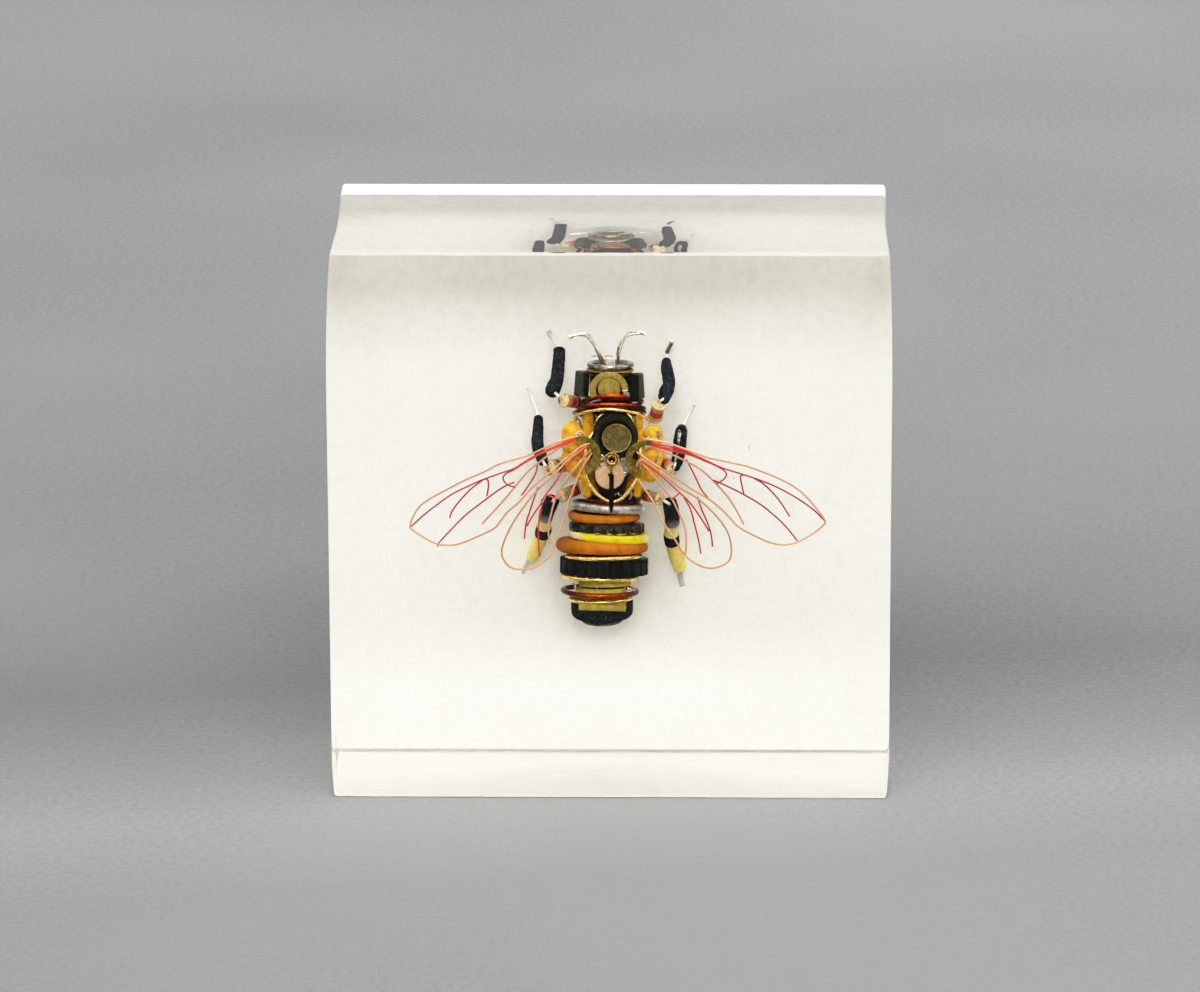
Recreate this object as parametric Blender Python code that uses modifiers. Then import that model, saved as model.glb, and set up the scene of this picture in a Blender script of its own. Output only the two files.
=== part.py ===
"""Display block: a clear cast block backed by a layer of white.

The block stands on its narrow bottom face. Its window faces -Y, the white
layer is at its back (+Y), and the width runs along X. Units are metres, the
origin is the middle of the bottom face, +Z is up.

Both pieces come from one cube primitive: loops are cut across the sides, the
sides are drawn in a little the way a cast block is after hand sanding, and
the outer edges are broken by a Bevel modifier.
"""
import bpy
import bmesh
from mathutils import Vector

# ---------------------------------------------------------------- dimensions
WIDTH = 0.0752          # across the window, at half height
HEIGHT = 0.0760         # bottom face to top face
DEPTH = 0.0380          # window to back, white layer included
BACKING = 0.0063        # thickness of the white layer
GAP = 0.0003            # between the clear block and the white layer
EDGE = 0.0005           # radius of the broken outer edges
EDGE_STEPS = 3

SHOULDER = 0.0580       # height where the sides start to draw in
SHOULDER_LEFT = 0.00072  # how far the left side is in at the top front edge
SHOULDER_RIGHT = 0.00045
SHOULDER_BACK = 0.00036  # the same at the top back edge, both sides
WAIST = 0.00028         # sides are slightly hollow between window and back
WAIST_AT = 0.43         # as a fraction of the depth, from the window
WAIST_SPREAD = 0.24
FOOT = 0.0060           # height below which the sides draw in again
FOOT_PULL = 0.00030

CUTS_Z = (0.0015, 0.0035, 0.0060, 0.0320, 0.0580, 0.0625, 0.0665, 0.0700, 0.0730)
CUTS_Y = (-0.0155, -0.0120, -0.0085, -0.0050, -0.0010, 0.0040, 0.0090)

PIECES = {
    "clear_resin_block": (-DEPTH / 2, DEPTH / 2 - BACKING - GAP),
    "white_backing": (DEPTH / 2 - BACKING, DEPTH / 2),
}


def side_inset(side, y, z):
    """How far a side is in from the full width at depth y and height z."""
    along = (y + DEPTH / 2) / DEPTH
    front = SHOULDER_LEFT if side < 0 else SHOULDER_RIGHT
    top = front + (SHOULDER_BACK - front) * along
    rise = max(0.0, (z - SHOULDER) / (HEIGHT - SHOULDER))
    hollow = WAIST * 2.0 ** (-((along - WAIST_AT) / WAIST_SPREAD) ** 2)
    foot = max(0.0, 1.0 - z / FOOT)
    return top * rise ** 2.0 + hollow * (0.25 + 0.75 * rise) + FOOT_PULL * foot ** 1.6


def clear_scene():
    for ob in list(bpy.data.objects):
        bpy.data.objects.remove(ob, do_unlink=True)


def principled(name, colour, roughness, transmission=0.0, ior=1.5):
    mat = bpy.data.materials.new(name)
    mat.use_nodes = True
    shader = mat.node_tree.nodes["Principled BSDF"]
    shader.inputs["Base Color"].default_value = (*colour, 1.0)
    shader.inputs["Roughness"].default_value = roughness
    shader.inputs["Metallic"].default_value = 0.0
    shader.inputs["IOR"].default_value = ior
    shader.inputs["Transmission Weight"].default_value = transmission
    return mat


def slab(name, y_front, y_back, collection, material):
    """One layer of the block between two depths."""
    bpy.ops.mesh.primitive_cube_add(size=1.0)
    ob = bpy.context.active_object
    ob.name = name
    ob.data.name = name
    for other in list(ob.users_collection):
        other.objects.unlink(ob)
    collection.objects.link(ob)

    bm = bmesh.new()
    bm.from_mesh(ob.data)
    for v in bm.verts:
        v.co.x *= WIDTH
        v.co.y = y_front if v.co.y < 0 else y_back
        v.co.z = 0.0 if v.co.z < 0 else HEIGHT
    for z in CUTS_Z:
        bmesh.ops.bisect_plane(bm, geom=bm.verts[:] + bm.edges[:] + bm.faces[:],
                               plane_co=Vector((0, 0, z)), plane_no=Vector((0, 0, 1)), dist=1e-7)
    for y in CUTS_Y:
        if y_front + 0.001 < y < y_back - 0.001:
            bmesh.ops.bisect_plane(bm, geom=bm.verts[:] + bm.edges[:] + bm.faces[:],
                                   plane_co=Vector((0, y, 0)), plane_no=Vector((0, 1, 0)), dist=1e-7)

    # the outer edges are broken; the ones at the joint between the layers stay crisp
    joint_y = y_back if y_front < -DEPTH / 4 else y_front
    weight = bm.edges.layers.float.new("bevel_weight_edge")
    for e in bm.edges:
        at_joint = all(abs(v.co.y - joint_y) < 1e-6 for v in e.verts)
        corner = e.is_manifold and e.calc_face_angle(0.0) > 0.5
        e[weight] = 1.0 if corner and not at_joint else 0.0

    for v in bm.verts:
        side = -1.0 if v.co.x < 0 else 1.0
        v.co.x -= side * side_inset(side, v.co.y, v.co.z)
    bmesh.ops.recalc_face_normals(bm, faces=bm.faces[:])
    bm.to_mesh(ob.data)
    bm.free()

    bevel = ob.modifiers.new("broken_edges", "BEVEL")
    bevel.limit_method = "WEIGHT"
    bevel.width = EDGE
    bevel.segments = EDGE_STEPS
    bevel.use_clamp_overlap = True
    ob.data.materials.append(material)
    return ob


def main():
    clear_scene()
    collection = bpy.data.collections.new("insect_resin_block")
    bpy.context.scene.collection.children.link(collection)
    finishes = {
        "clear_resin_block": principled("clear_resin", (0.98, 0.98, 0.96), 0.03, 1.0, 1.55),
        "white_backing": principled("white_resin", (0.93, 0.93, 0.91), 0.25),
    }
    for name, (y_front, y_back) in PIECES.items():
        slab(name, y_front, y_back, collection, finishes[name])


main()
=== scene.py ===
"""Model bee of electronic and watch parts, cast in a clear resin block with a white back."""
import math
import random

import bmesh
import bpy
from mathutils import Matrix, Vector
from mathutils import noise as grain


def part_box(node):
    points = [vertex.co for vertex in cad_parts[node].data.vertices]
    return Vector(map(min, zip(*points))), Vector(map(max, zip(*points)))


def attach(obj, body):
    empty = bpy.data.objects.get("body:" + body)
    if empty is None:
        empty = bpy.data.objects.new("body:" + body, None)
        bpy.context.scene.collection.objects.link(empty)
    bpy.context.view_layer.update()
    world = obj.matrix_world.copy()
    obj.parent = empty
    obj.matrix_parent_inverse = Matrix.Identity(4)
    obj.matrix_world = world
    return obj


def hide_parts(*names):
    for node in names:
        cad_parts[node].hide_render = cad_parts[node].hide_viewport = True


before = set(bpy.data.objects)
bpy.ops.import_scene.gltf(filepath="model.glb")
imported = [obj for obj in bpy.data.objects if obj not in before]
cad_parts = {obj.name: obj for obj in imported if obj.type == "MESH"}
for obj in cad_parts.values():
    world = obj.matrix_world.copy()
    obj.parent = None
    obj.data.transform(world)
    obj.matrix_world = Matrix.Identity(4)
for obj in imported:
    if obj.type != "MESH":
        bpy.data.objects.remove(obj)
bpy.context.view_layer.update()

MM = 0.001

# ------------------------------------------------------------------ the block
BACK_LO, BACK_HI = (Vector(c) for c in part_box("white_backing"))
RES_LO, RES_HI = (Vector(c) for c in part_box("clear_resin_block"))
FRONT = RES_LO.y                 # the window's plane
HEIGHT = RES_HI.z
WHITE_Y = BACK_LO.y              # the white layer's inner face
IOR = 1.55

# ------------------------------------------------------------------ camera
# elevation, distance and turn of the photograph's view, and the point looked at
# on the window; the frame is 1200 x 992 and the lens is long
EL = math.radians(16.537)
DIST = 0.91448
YAW = math.radians(1.2023)
ROLL = math.radians(0.2006)
F_PX = 6860.4
AIM = Vector((-0.0012226, 0.0, 0.0425721))      # from the window's bottom middle


def turned(v, a):
    return Vector((math.cos(a) * v.x - math.sin(a) * v.y, math.sin(a) * v.x + math.cos(a) * v.y, v.z))


VIEW = turned(Vector((0, math.cos(EL), -math.sin(EL))), YAW)
RIGHT = turned(Vector((1, 0, 0)), YAW)
UP = RIGHT.cross(VIEW)
EYE = turned(AIM - DIST * Vector((0, math.cos(EL), -math.sin(EL))), YAW) + Vector((0, FRONT, 0))


def make_camera():
    c, s = math.cos(ROLL), math.sin(ROLL)
    right, up = c * RIGHT - s * UP, s * RIGHT + c * UP
    data = bpy.data.cameras.new("camera")
    data.sensor_width = 36.0
    data.sensor_fit = "HORIZONTAL"
    data.lens = F_PX / 1200 * 36.0
    data.clip_start, data.clip_end = 0.02, 50.0
    ob = bpy.data.objects.new("camera", data)
    bpy.context.scene.collection.objects.link(ob)
    m = Matrix((right, up, -VIEW)).transposed().to_4x4()
    m.translation = EYE
    ob.matrix_world = m
    bpy.context.scene.camera = ob


def at(px, py, depth):
    """The point at a depth (mm) behind the window that shows at a place in the 1200 x 992 frame."""
    c, s = math.cos(ROLL), math.sin(ROLL)
    a, b = px - 600.0, 496.0 - py
    x, y = c * a + s * b, -s * a + c * b
    ray = (VIEW + RIGHT * (x / F_PX) + UP * (y / F_PX)).normalized()
    hit = EYE + ray * ((FRONT - EYE.y) / ray.y)
    inner = Vector((ray.x / IOR, 0, ray.z / IOR))
    inner.y = math.sqrt(max(0.0, 1.0 - inner.length_squared))
    return hit + inner * (depth * MM / inner.y)


PX = 7.36        # pixels a millimetre at the bee's depth


# ------------------------------------------------------------------ materials
def new_material(name):
    mat = bpy.data.materials.new(name)
    mat.use_nodes = True
    nt = mat.node_tree
    return mat, nt, nt.nodes["Principled BSDF"]


def node(nt, kind, **values):
    n = nt.nodes.new(kind)
    for k, v in values.items():
        if hasattr(n, k):
            setattr(n, k, v)
        else:
            n.inputs[k.replace("_", " ")].default_value = v
    return n


def object_coords(nt, scale=(1, 1, 1)):
    tc = nt.nodes.new("ShaderNodeTexCoord")
    mp = nt.nodes.new("ShaderNodeMapping")
    mp.inputs["Scale"].default_value = scale
    nt.links.new(tc.outputs["Object"], mp.inputs["Vector"])
    return mp.outputs["Vector"]


def noise(nt, coords, scale, detail=3.0, rough=0.55, dist=0.0):
    n = nt.nodes.new("ShaderNodeTexNoise")
    n.inputs["Scale"].default_value = scale
    n.inputs["Detail"].default_value = detail
    n.inputs["Roughness"].default_value = rough
    n.inputs["Distortion"].default_value = dist
    nt.links.new(coords, n.inputs["Vector"])
    return n.outputs["Fac"]


def ramp(nt, fac, stops):
    r = nt.nodes.new("ShaderNodeValToRGB")
    el = r.color_ramp.elements
    while len(el) < len(stops):
        el.new(0.5)
    for e, (p, col) in zip(el, stops):
        e.position = p
        e.color = (*col, 1.0) if len(col) == 3 else col
    nt.links.new(fac, r.inputs["Fac"])
    return r.outputs["Color"]


def map_range(nt, fac, lo, hi, a, b):
    m = nt.nodes.new("ShaderNodeMapRange")
    m.inputs["From Min"].default_value = lo
    m.inputs["From Max"].default_value = hi
    m.inputs["To Min"].default_value = a
    m.inputs["To Max"].default_value = b
    nt.links.new(fac, m.inputs["Value"])
    return m.outputs["Result"]


def bump(nt, shader, height, strength, distance):
    b = nt.nodes.new("ShaderNodeBump")
    b.inputs["Strength"].default_value = strength
    b.inputs["Distance"].default_value = distance
    nt.links.new(height, b.inputs["Height"])
    nt.links.new(b.outputs["Normal"], shader.inputs["Normal"])


def clear_resin():
    mat, nt, sh = new_material("clear_resin")
    sh.inputs["Base Color"].default_value = (1, 1, 1, 1)
    sh.inputs["Roughness"].default_value = 0.0
    sh.inputs["IOR"].default_value = IOR
    sh.inputs["Transmission Weight"].default_value = 1.0
    out = next(n for n in nt.nodes if n.type == "OUTPUT_MATERIAL")
    vol = nt.nodes.new("ShaderNodeVolumeAbsorption")
    vol.inputs["Color"].default_value = (0.93, 0.905, 0.56, 1)
    vol.inputs["Density"].default_value = 2.2
    nt.links.new(vol.outputs["Volume"], out.inputs["Volume"])
    return mat


def clear_resin_foot():
    """The clear block's underside: the same resin, its polish scuffed by standing; its colour is darkened towards the
    middle and the front as painted shade.
    """
    mat = clear_resin()
    mat.name = "clear_resin_foot"
    nt = mat.node_tree
    sh = nt.nodes["Principled BSDF"]
    co = object_coords(nt)
    sep = nt.nodes.new("ShaderNodeSeparateXYZ")
    nt.links.new(co, sep.inputs["Vector"])
    off = nt.nodes.new("ShaderNodeMath")
    off.operation = "ABSOLUTE"
    nt.links.new(sep.outputs["X"], off.inputs[0])
    # painted shade mask: distance from the middle with a little noise, plus distance from the front; the ramp below
    # darkens the colour where it is small
    worn = nt.nodes.new("ShaderNodeMath")
    worn.operation = "MULTIPLY_ADD"
    nt.links.new(noise(nt, co, 300, 4, 0.6), worn.inputs[0])
    worn.inputs[1].default_value = 0.006
    nt.links.new(off.outputs["Value"], worn.inputs[2])
    front = nt.nodes.new("ShaderNodeMath")
    front.operation = "MULTIPLY_ADD"
    nt.links.new(sep.outputs["Y"], front.inputs[0])
    front.inputs[1].default_value = 2.6
    nt.links.new(worn.outputs["Value"], front.inputs[2])
    nt.links.new(ramp(nt, map_range(nt, front.outputs["Value"], -0.030, 0.036, 0.0, 1.0), [(0.12, (0.05, 0.045, 0.03)), (0.80, (0.80, 0.76, 0.64))]), sh.inputs["Base Color"])
    nt.links.new(map_range(nt, noise(nt, co, 700, 3, 0.6), 0.3, 0.7, 0.010, 0.04), sh.inputs["Roughness"])
    sh.inputs["Transmission Weight"].default_value = 0.57
    return mat


def white_resin():
    mat, nt, sh = new_material("white_resin")
    co = object_coords(nt)
    n = noise(nt, co, 45, 2, 0.5)
    col = ramp(nt, n, [(0.3, (0.911, 0.906, 0.869)), (0.7, (0.925, 0.920, 0.886))])
    sep = nt.nodes.new("ShaderNodeSeparateXYZ")
    nt.links.new(co, sep.inputs["Vector"])
    # painted light: the white is made lighter towards the top, standing for light falling there
    top = nt.nodes.new("ShaderNodeMix")
    top.data_type = "RGBA"
    nt.links.new(map_range(nt, sep.outputs["Z"], 0.056, 0.072, 0.0, 1.0), top.inputs["Factor"])
    nt.links.new(col, top.inputs["A"])
    top.inputs["B"].default_value = (0.985, 0.982, 0.955, 1)
    col = top.outputs["Result"]
    # painted shade: a faint grey line along the foot, where the white layer meets the bottom
    mix = nt.nodes.new("ShaderNodeMix")
    mix.data_type = "RGBA"
    nt.links.new(map_range(nt, sep.outputs["Z"], 0.00020, 0.00040, 1.0, 0.0), mix.inputs["Factor"])
    nt.links.new(col, mix.inputs["A"])
    mix.inputs["B"].default_value = (0.40, 0.40, 0.38, 1)
    nt.links.new(mix.outputs["Result"], sh.inputs["Base Color"])
    nt.links.new(map_range(nt, noise(nt, co, 900, 3, 0.6), 0.3, 0.7, 0.24, 0.32), sh.inputs["Roughness"])
    sh.inputs["IOR"].default_value = 1.5
    return mat


def floor_paper():
    mat, nt, sh = new_material("floor_paper")
    co = object_coords(nt)
    fine = noise(nt, co, 1100, 2, 0.6)
    broad = noise(nt, co, 6, 2, 0.5)
    mix = nt.nodes.new("ShaderNodeMath"); mix.operation = "MULTIPLY_ADD"
    nt.links.new(fine, mix.inputs[0]); mix.inputs[1].default_value = 0.8
    nt.links.new(broad, mix.inputs[2])
    grain = ramp(nt, mix.outputs["Value"], [(0.65, (0.88, 0.88, 0.88)), (1.15, (1.12, 1.12, 1.12))])
    # painted shade: the paper darkens in a soft band across the table behind the block, a little askew; the same tones
    # paint light just in front of the block
    sep = nt.nodes.new("ShaderNodeSeparateXYZ")
    nt.links.new(co, sep.inputs["Vector"])
    skew = nt.nodes.new("ShaderNodeMath"); skew.operation = "MULTIPLY_ADD"
    nt.links.new(sep.outputs["X"], skew.inputs[0]); skew.inputs[1].default_value = -0.17
    nt.links.new(sep.outputs["Y"], skew.inputs[2])
    t = map_range(nt, skew.outputs["Value"], -0.5, 0.7, 0.0, 1.0)
    tone = ramp(nt, t, [((y + 0.5) / 1.2, (v * 0.985, v * 1.0, v * 0.985)) for y, v in PAINTED_PAPER_TONES])
    col = nt.nodes.new("ShaderNodeMix"); col.data_type = "RGBA"; col.blend_type = "MULTIPLY"
    col.inputs["Factor"].default_value = 1.0
    nt.links.new(tone, col.inputs["A"]); nt.links.new(grain, col.inputs["B"])
    # painted light: it is a little lighter towards the right
    across = nt.nodes.new("ShaderNodeMix"); across.data_type = "RGBA"; across.blend_type = "MULTIPLY"
    across.inputs["Factor"].default_value = 1.0
    nt.links.new(col.outputs["Result"], across.inputs["A"])
    nt.links.new(map_range(nt, sep.outputs["X"], -0.12, 0.12, 0.94, 1.06), across.inputs["B"])
    nt.links.new(across.outputs["Result"], sh.inputs["Base Color"])
    sh.inputs["Roughness"].default_value = 0.8
    sh.inputs["Specular IOR Level"].default_value = 0.2
    return mat


# painted light and shade on the paper along the table, from in front of the block to far behind it: darker far in
# front, lighter just in front of the block, a shaded band just behind it
PAINTED_PAPER_TONES = ((-0.40, 0.070), (-0.16, 0.100), (-0.105, 0.146), (-0.05, 0.150), (-0.019, 0.182), (0.010, 0.154), (0.037, 0.120), (0.060, 0.132),
         (0.100, 0.147), (0.170, 0.156), (0.300, 0.184), (0.480, 0.200))


# ------------------------------------------------------------------ mesh help
def finish_piece(ob, material, smooth=True, angle=40.0):
    """Put a material on a piece, shade it and let it ride with the block."""
    if ob.type == "MESH":
        ob.data.materials.clear()
        ob.data.materials.append(material)
        if smooth:
            ob.data.shade_smooth()
            if angle < 180:
                ob.data.set_sharp_from_angle(angle=math.radians(angle))
    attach(ob, "root")
    return ob


def mesh_object(name, bm):
    me = bpy.data.meshes.new(name)
    bm.to_mesh(me)
    bm.free()
    ob = bpy.data.objects.new(name, me)
    bpy.context.scene.collection.objects.link(ob)
    return ob


# ------------------------------------------------------------------ the block
SHOULDER, WAIST_AT, WAIST_SPREAD, FOOT = 0.058, 0.43, 0.24, 0.006
BLOCK_W, BLOCK_D = 0.0752, 0.038


def side_inset(side, y, z):
    along = (y + BLOCK_D / 2) / BLOCK_D
    front = 0.00072 if side < 0 else 0.00045
    top = front + (0.00036 - front) * along
    rise = max(0.0, (z - SHOULDER) / (HEIGHT - SHOULDER))
    hollow = 0.00028 * 2.0 ** (-((along - WAIST_AT) / WAIST_SPREAD) ** 2)
    foot = max(0.0, 1.0 - z / FOOT)
    return top * rise ** 2.0 + hollow * (0.25 + 0.75 * rise) + 0.0003 * foot ** 1.6


def slab(name, y0, y1, joint_y, nx=24, ny=20, nz=48):
    """One layer of the block, finely cut, with its outer edges rounded over."""
    r = 0.0005
    steps = 6

    def stops(lo, hi, n, round_lo=True, round_hi=True):
        """Positions along one side, closer together in the rounded edges."""
        out = []
        a = lo + (r if round_lo else 0.0)
        b = hi - (r if round_hi else 0.0)
        if round_lo:
            out += [(lo + r - r * math.sin(math.pi / 2 * (1 - k / steps))) for k in range(steps)]
        out += [a + (b - a) * k / n for k in range(n + 1)]
        if round_hi:
            out += [(hi - r + r * math.sin(math.pi / 2 * (k / steps))) for k in range(1, steps + 1)]
        return out

    hw = BLOCK_W / 2
    xs = stops(-hw, hw, nx)
    ys = stops(y0, y1, ny, abs(y0 - joint_y) > 1e-6, abs(y1 - joint_y) > 1e-6)
    zs = stops(0.0, HEIGHT, nz)
    soft = {"y0": abs(y0 - joint_y) > 1e-6, "y1": abs(y1 - joint_y) > 1e-6}

    def place(x, y, z):
        """Round the box's edges: the point is pulled onto a rounded box."""
        cx = min(max(x, -hw + r), hw - r)
        cz = min(max(z, r), HEIGHT - r)
        lo = y0 + r if soft["y0"] else y0
        hi = y1 - r if soft["y1"] else y1
        cy = min(max(y, lo), hi)
        d = Vector((x - cx, y - cy, z - cz))
        if d.length > 1e-9:
            k = max(abs(d.x), abs(d.y), abs(d.z))
            d = d.normalized() * k
        p = Vector((cx, cy, cz)) + d
        side = -1.0 if p.x < 0 else 1.0
        share = abs(p.x) / hw
        p.x -= side * side_inset(side, p.y, p.z) * share
        return p

    bm = bmesh.new()
    cache = {}

    def vert(i, j, k):
        key = (i, j, k)
        if key not in cache:
            cache[key] = bm.verts.new(place(xs[i], ys[j], zs[k]))
        return cache[key]

    X, Y, Z = len(xs) - 1, len(ys) - 1, len(zs) - 1
    for j in range(Y):
        for k in range(Z):
            bm.faces.new((vert(0, j, k), vert(0, j, k + 1), vert(0, j + 1, k + 1), vert(0, j + 1, k)))
            bm.faces.new((vert(X, j, k), vert(X, j + 1, k), vert(X, j + 1, k + 1), vert(X, j, k + 1)))
    for i in range(X):
        for k in range(Z):
            bm.faces.new((vert(i, 0, k), vert(i + 1, 0, k), vert(i + 1, 0, k + 1), vert(i, 0, k + 1)))
            bm.faces.new((vert(i, Y, k), vert(i, Y, k + 1), vert(i + 1, Y, k + 1), vert(i + 1, Y, k)))
    for i in range(X):
        for j in range(Y):
            bm.faces.new((vert(i, j, 0), vert(i, j + 1, 0), vert(i + 1, j + 1, 0), vert(i + 1, j, 0)))
            bm.faces.new((vert(i, j, Z), vert(i + 1, j, Z), vert(i + 1, j + 1, Z), vert(i, j + 1, Z)))
    bmesh.ops.recalc_face_normals(bm, faces=bm.faces[:])
    return mesh_object(name, bm)


def make_block():
    resin_mat, white_mat = clear_resin(), white_resin()
    # the clear casting runs back into the white layer, so no air shows between them
    resin = slab("clear_resin", FRONT, WHITE_Y + 0.00002, WHITE_Y + 0.00002)
    finish_piece(resin, resin_mat, angle=60)
    resin.data.materials.append(clear_resin_foot())
    for f in resin.data.polygons:
        if f.normal.z < -0.95:
            f.material_index = 1
    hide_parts("clear_resin_block")
    white = slab("white_layer", WHITE_Y, BACK_HI.y, WHITE_Y, ny=6)
    finish_piece(white, white_mat, angle=60)
    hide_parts("white_backing")


# ------------------------------------------------------------------ curves and turned shapes
def mpp(depth):
    """Metres a pixel of the frame at a depth behind the window."""
    return (at(601, 496, depth) - at(600, 496, depth)).length


def smooth_path(pts, steps=6, closed=False):
    """A smooth curve through the points."""
    n = len(pts)
    out = []
    for i in range(n if closed else n - 1):
        p1, p2 = pts[i], pts[(i + 1) % n]
        p0 = pts[(i - 1) % n] if (closed or i > 0) else p1 * 2 - p2
        p3 = pts[(i + 2) % n] if (closed or i + 2 < n) else p2 * 2 - p1
        for k in range(steps):
            t = k / steps
            out.append(0.5 * (2 * p1 + (p2 - p0) * t + (2 * p0 - 5 * p1 + 4 * p2 - p3) * t * t
                              + (3 * p1 - p0 - 3 * p2 + p3) * t * t * t))
    if not closed:
        out.append(pts[-1].copy())
    return out


def frames(path, closed, ref=None):
    """A normal and a second normal at every point, turning as little as possible."""
    n = len(path)
    tan = []
    for i in range(n):
        a = path[(i - 1) % n] if (closed or i > 0) else path[i]
        b = path[(i + 1) % n] if (closed or i < n - 1) else path[i]
        tan.append((b - a).normalized())
    ref = ref or (Vector((0, 1, 0)) if abs(tan[0].y) < 0.9 else Vector((0, 0, 1)))
    u = (ref - tan[0] * ref.dot(tan[0])).normalized()
    us = [u]
    for i in range(1, n):
        u = us[-1] - tan[i] * us[-1].dot(tan[i])
        us.append(u.normalized())
    if closed:
        last = us[-1] - tan[0] * us[-1].dot(tan[0])
        ang = math.atan2(tan[0].dot(last.cross(us[0])), last.dot(us[0]))
        us = [Matrix.Rotation(ang * i / n, 3, tan[i]) @ us[i] for i in range(n)]
    return tan, us, [tan[i].cross(us[i]) for i in range(n)]


def sweep(bm, path, radius, sides=12, closed=False, ends="round", ref=None, mat=0, hollow=0.0, square=1.0, fuzz=0.0, fuzz_scale=2500.0):
    """A tube along a path. radius is a number, or gives (along u, along v) at a fraction of the length."""
    tan, us, vs = frames(path, closed, ref)
    n = len(path)
    first, last = (None, None) if closed else ends if isinstance(ends, tuple) else (ends, ends)

    def rad(f):
        r = radius(f) if callable(radius) else radius
        return r if isinstance(r, tuple) else (r, r)

    def shaped(t):
        return math.copysign(abs(t) ** square, t)

    def loop(c, u, v, a, b):
        out = []
        for k in range(sides):
            w = 2 * math.pi * k / sides
            d = u * (shaped(math.cos(w)) * a) + v * (shaped(math.sin(w)) * b)
            if fuzz:
                q = (c + d) * fuzz_scale
                d = d * (1.0 + fuzz * (grain.noise(q) + 0.5 * grain.noise(q * 2.3)))
            out.append(bm.verts.new(c + d))
        return out

    loops = []
    if first == "round":
        a, b = rad(0.0)
        for s in (0.25, 0.6, 0.9):
            h = math.sqrt(1 - s * s) * min(a, b) * 0.8
            loops.append(loop(path[0] - tan[0] * h, us[0], vs[0], a * s, b * s))
    elif first == "hollow":
        a, b = rad(0.0)
        for shift, grow in ((1.6, hollow * 0.9), (0.15, hollow), (-0.04, hollow + 0.12), (-0.03, 0.93)):
            loops.append(loop(path[0] + tan[0] * a * shift, us[0], vs[0], a * grow, b * grow))
    for i in range(n):
        a, b = rad(i / (n if closed else n - 1))
        loops.append(loop(path[i], us[i], vs[i], a, b))
    if last == "round":
        a, b = rad(1.0)
        for s in (0.9, 0.6, 0.25):
            h = math.sqrt(1 - s * s) * min(a, b) * 0.8
            loops.append(loop(path[-1] + tan[-1] * h, us[-1], vs[-1], a * s, b * s))
    elif last == "hollow":
        a, b = rad(1.0)
        for shift, grow in ((0.03, 0.93), (0.04, hollow + 0.12), (-0.15, hollow), (-1.6, hollow * 0.9)):
            loops.append(loop(path[-1] + tan[-1] * a * shift, us[-1], vs[-1], a * grow, b * grow))
    m = len(loops)
    for i in range(m if closed else m - 1):
        A, B = loops[i], loops[(i + 1) % m]
        for k in range(sides):
            f = bm.faces.new((A[k], A[(k + 1) % sides], B[(k + 1) % sides], B[k]))
            f.material_index = mat
    if not closed:
        bm.faces.new(loops[0][::-1]).material_index = mat
        bm.faces.new(loops[-1]).material_index = mat
    return loops


def tube(name, mat, path, radius, sides=12, closed=False, ends="round", ref=None, hollow=0.0, angle=50, square=1.0,
         fuzz=0.0, fuzz_scale=2500.0):
    bm = bmesh.new()
    sweep(bm, path, radius, sides, closed, ends, ref, hollow=hollow, square=square, fuzz=fuzz, fuzz_scale=fuzz_scale)
    bmesh.ops.recalc_face_normals(bm, faces=bm.faces[:])
    return finish_piece(mesh_object(name, bm), mat, angle=angle)


def twisted(name, mat, path, strand, apart, turns, sides=12, start=0.0):
    """Two strands of wire twisted round each other along a path."""
    tan, us, vs = frames(path, False)
    n = len(path)
    bm = bmesh.new()
    for side in (0.0, math.pi):
        pts = []
        for i in range(n):
            t = i / (n - 1)
            a = start + side + 2 * math.pi * turns * t
            off = apart(t) if callable(apart) else apart
            pts.append(path[i] + us[i] * (math.cos(a) * off) + vs[i] * (math.sin(a) * off))
        sweep(bm, pts, strand, sides, False, "round")
    bmesh.ops.recalc_face_normals(bm, faces=bm.faces[:])
    return finish_piece(mesh_object(name, bm), mat, angle=180)


def basis(normal, up=Vector((0, 0, 1))):
    n = normal.normalized()
    x = up.cross(n).normalized()
    return x, n.cross(x), n


FACING = Vector((0.0, -1.0, 0.0))


def turned_bm(bm, origin, normal, profile, segs=64, mats=None, wobble=None):
    """Turn a profile of (radius, height) in mm about a line; height runs along the normal."""
    x, y, n = basis(normal, Vector((0, 0, 1)) if abs(normal.normalized().z) < 0.9 else Vector((0, -1, 0)))
    loops = []
    for r, h in profile:
        if r <= 1e-6:
            loops.append([bm.verts.new(origin + n * h * MM)])
        else:
            ring = []
            for k in range(segs):
                a = 2 * math.pi * k / segs
                rr = r * (wobble(a, h) if wobble else 1.0)
                ring.append(bm.verts.new(origin + (x * math.cos(a) + y * math.sin(a)) * rr * MM + n * h * MM))
            loops.append(ring)
    for i in range(len(loops) - 1):
        A, B = loops[i], loops[i + 1]
        mi = mats[i] if mats else 0
        for k in range(segs):
            k2 = (k + 1) % segs
            if len(A) == 1 and len(B) == 1:
                continue
            if len(A) == 1:
                f = bm.faces.new((A[0], B[k2], B[k]))
            elif len(B) == 1:
                f = bm.faces.new((A[k], A[k2], B[0]))
            else:
                f = bm.faces.new((A[k], A[k2], B[k2], B[k]))
            f.material_index = mi


def turned_piece(name, mat, origin, normal, profile, segs=64, wobble=None, angle=35):
    bm = bmesh.new()
    turned_bm(bm, origin, normal, profile, segs, wobble=wobble)
    bmesh.ops.remove_doubles(bm, verts=bm.verts[:], dist=1e-8)
    bmesh.ops.recalc_face_normals(bm, faces=bm.faces[:])
    return finish_piece(mesh_object(name, bm), mat, angle=angle)


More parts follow.
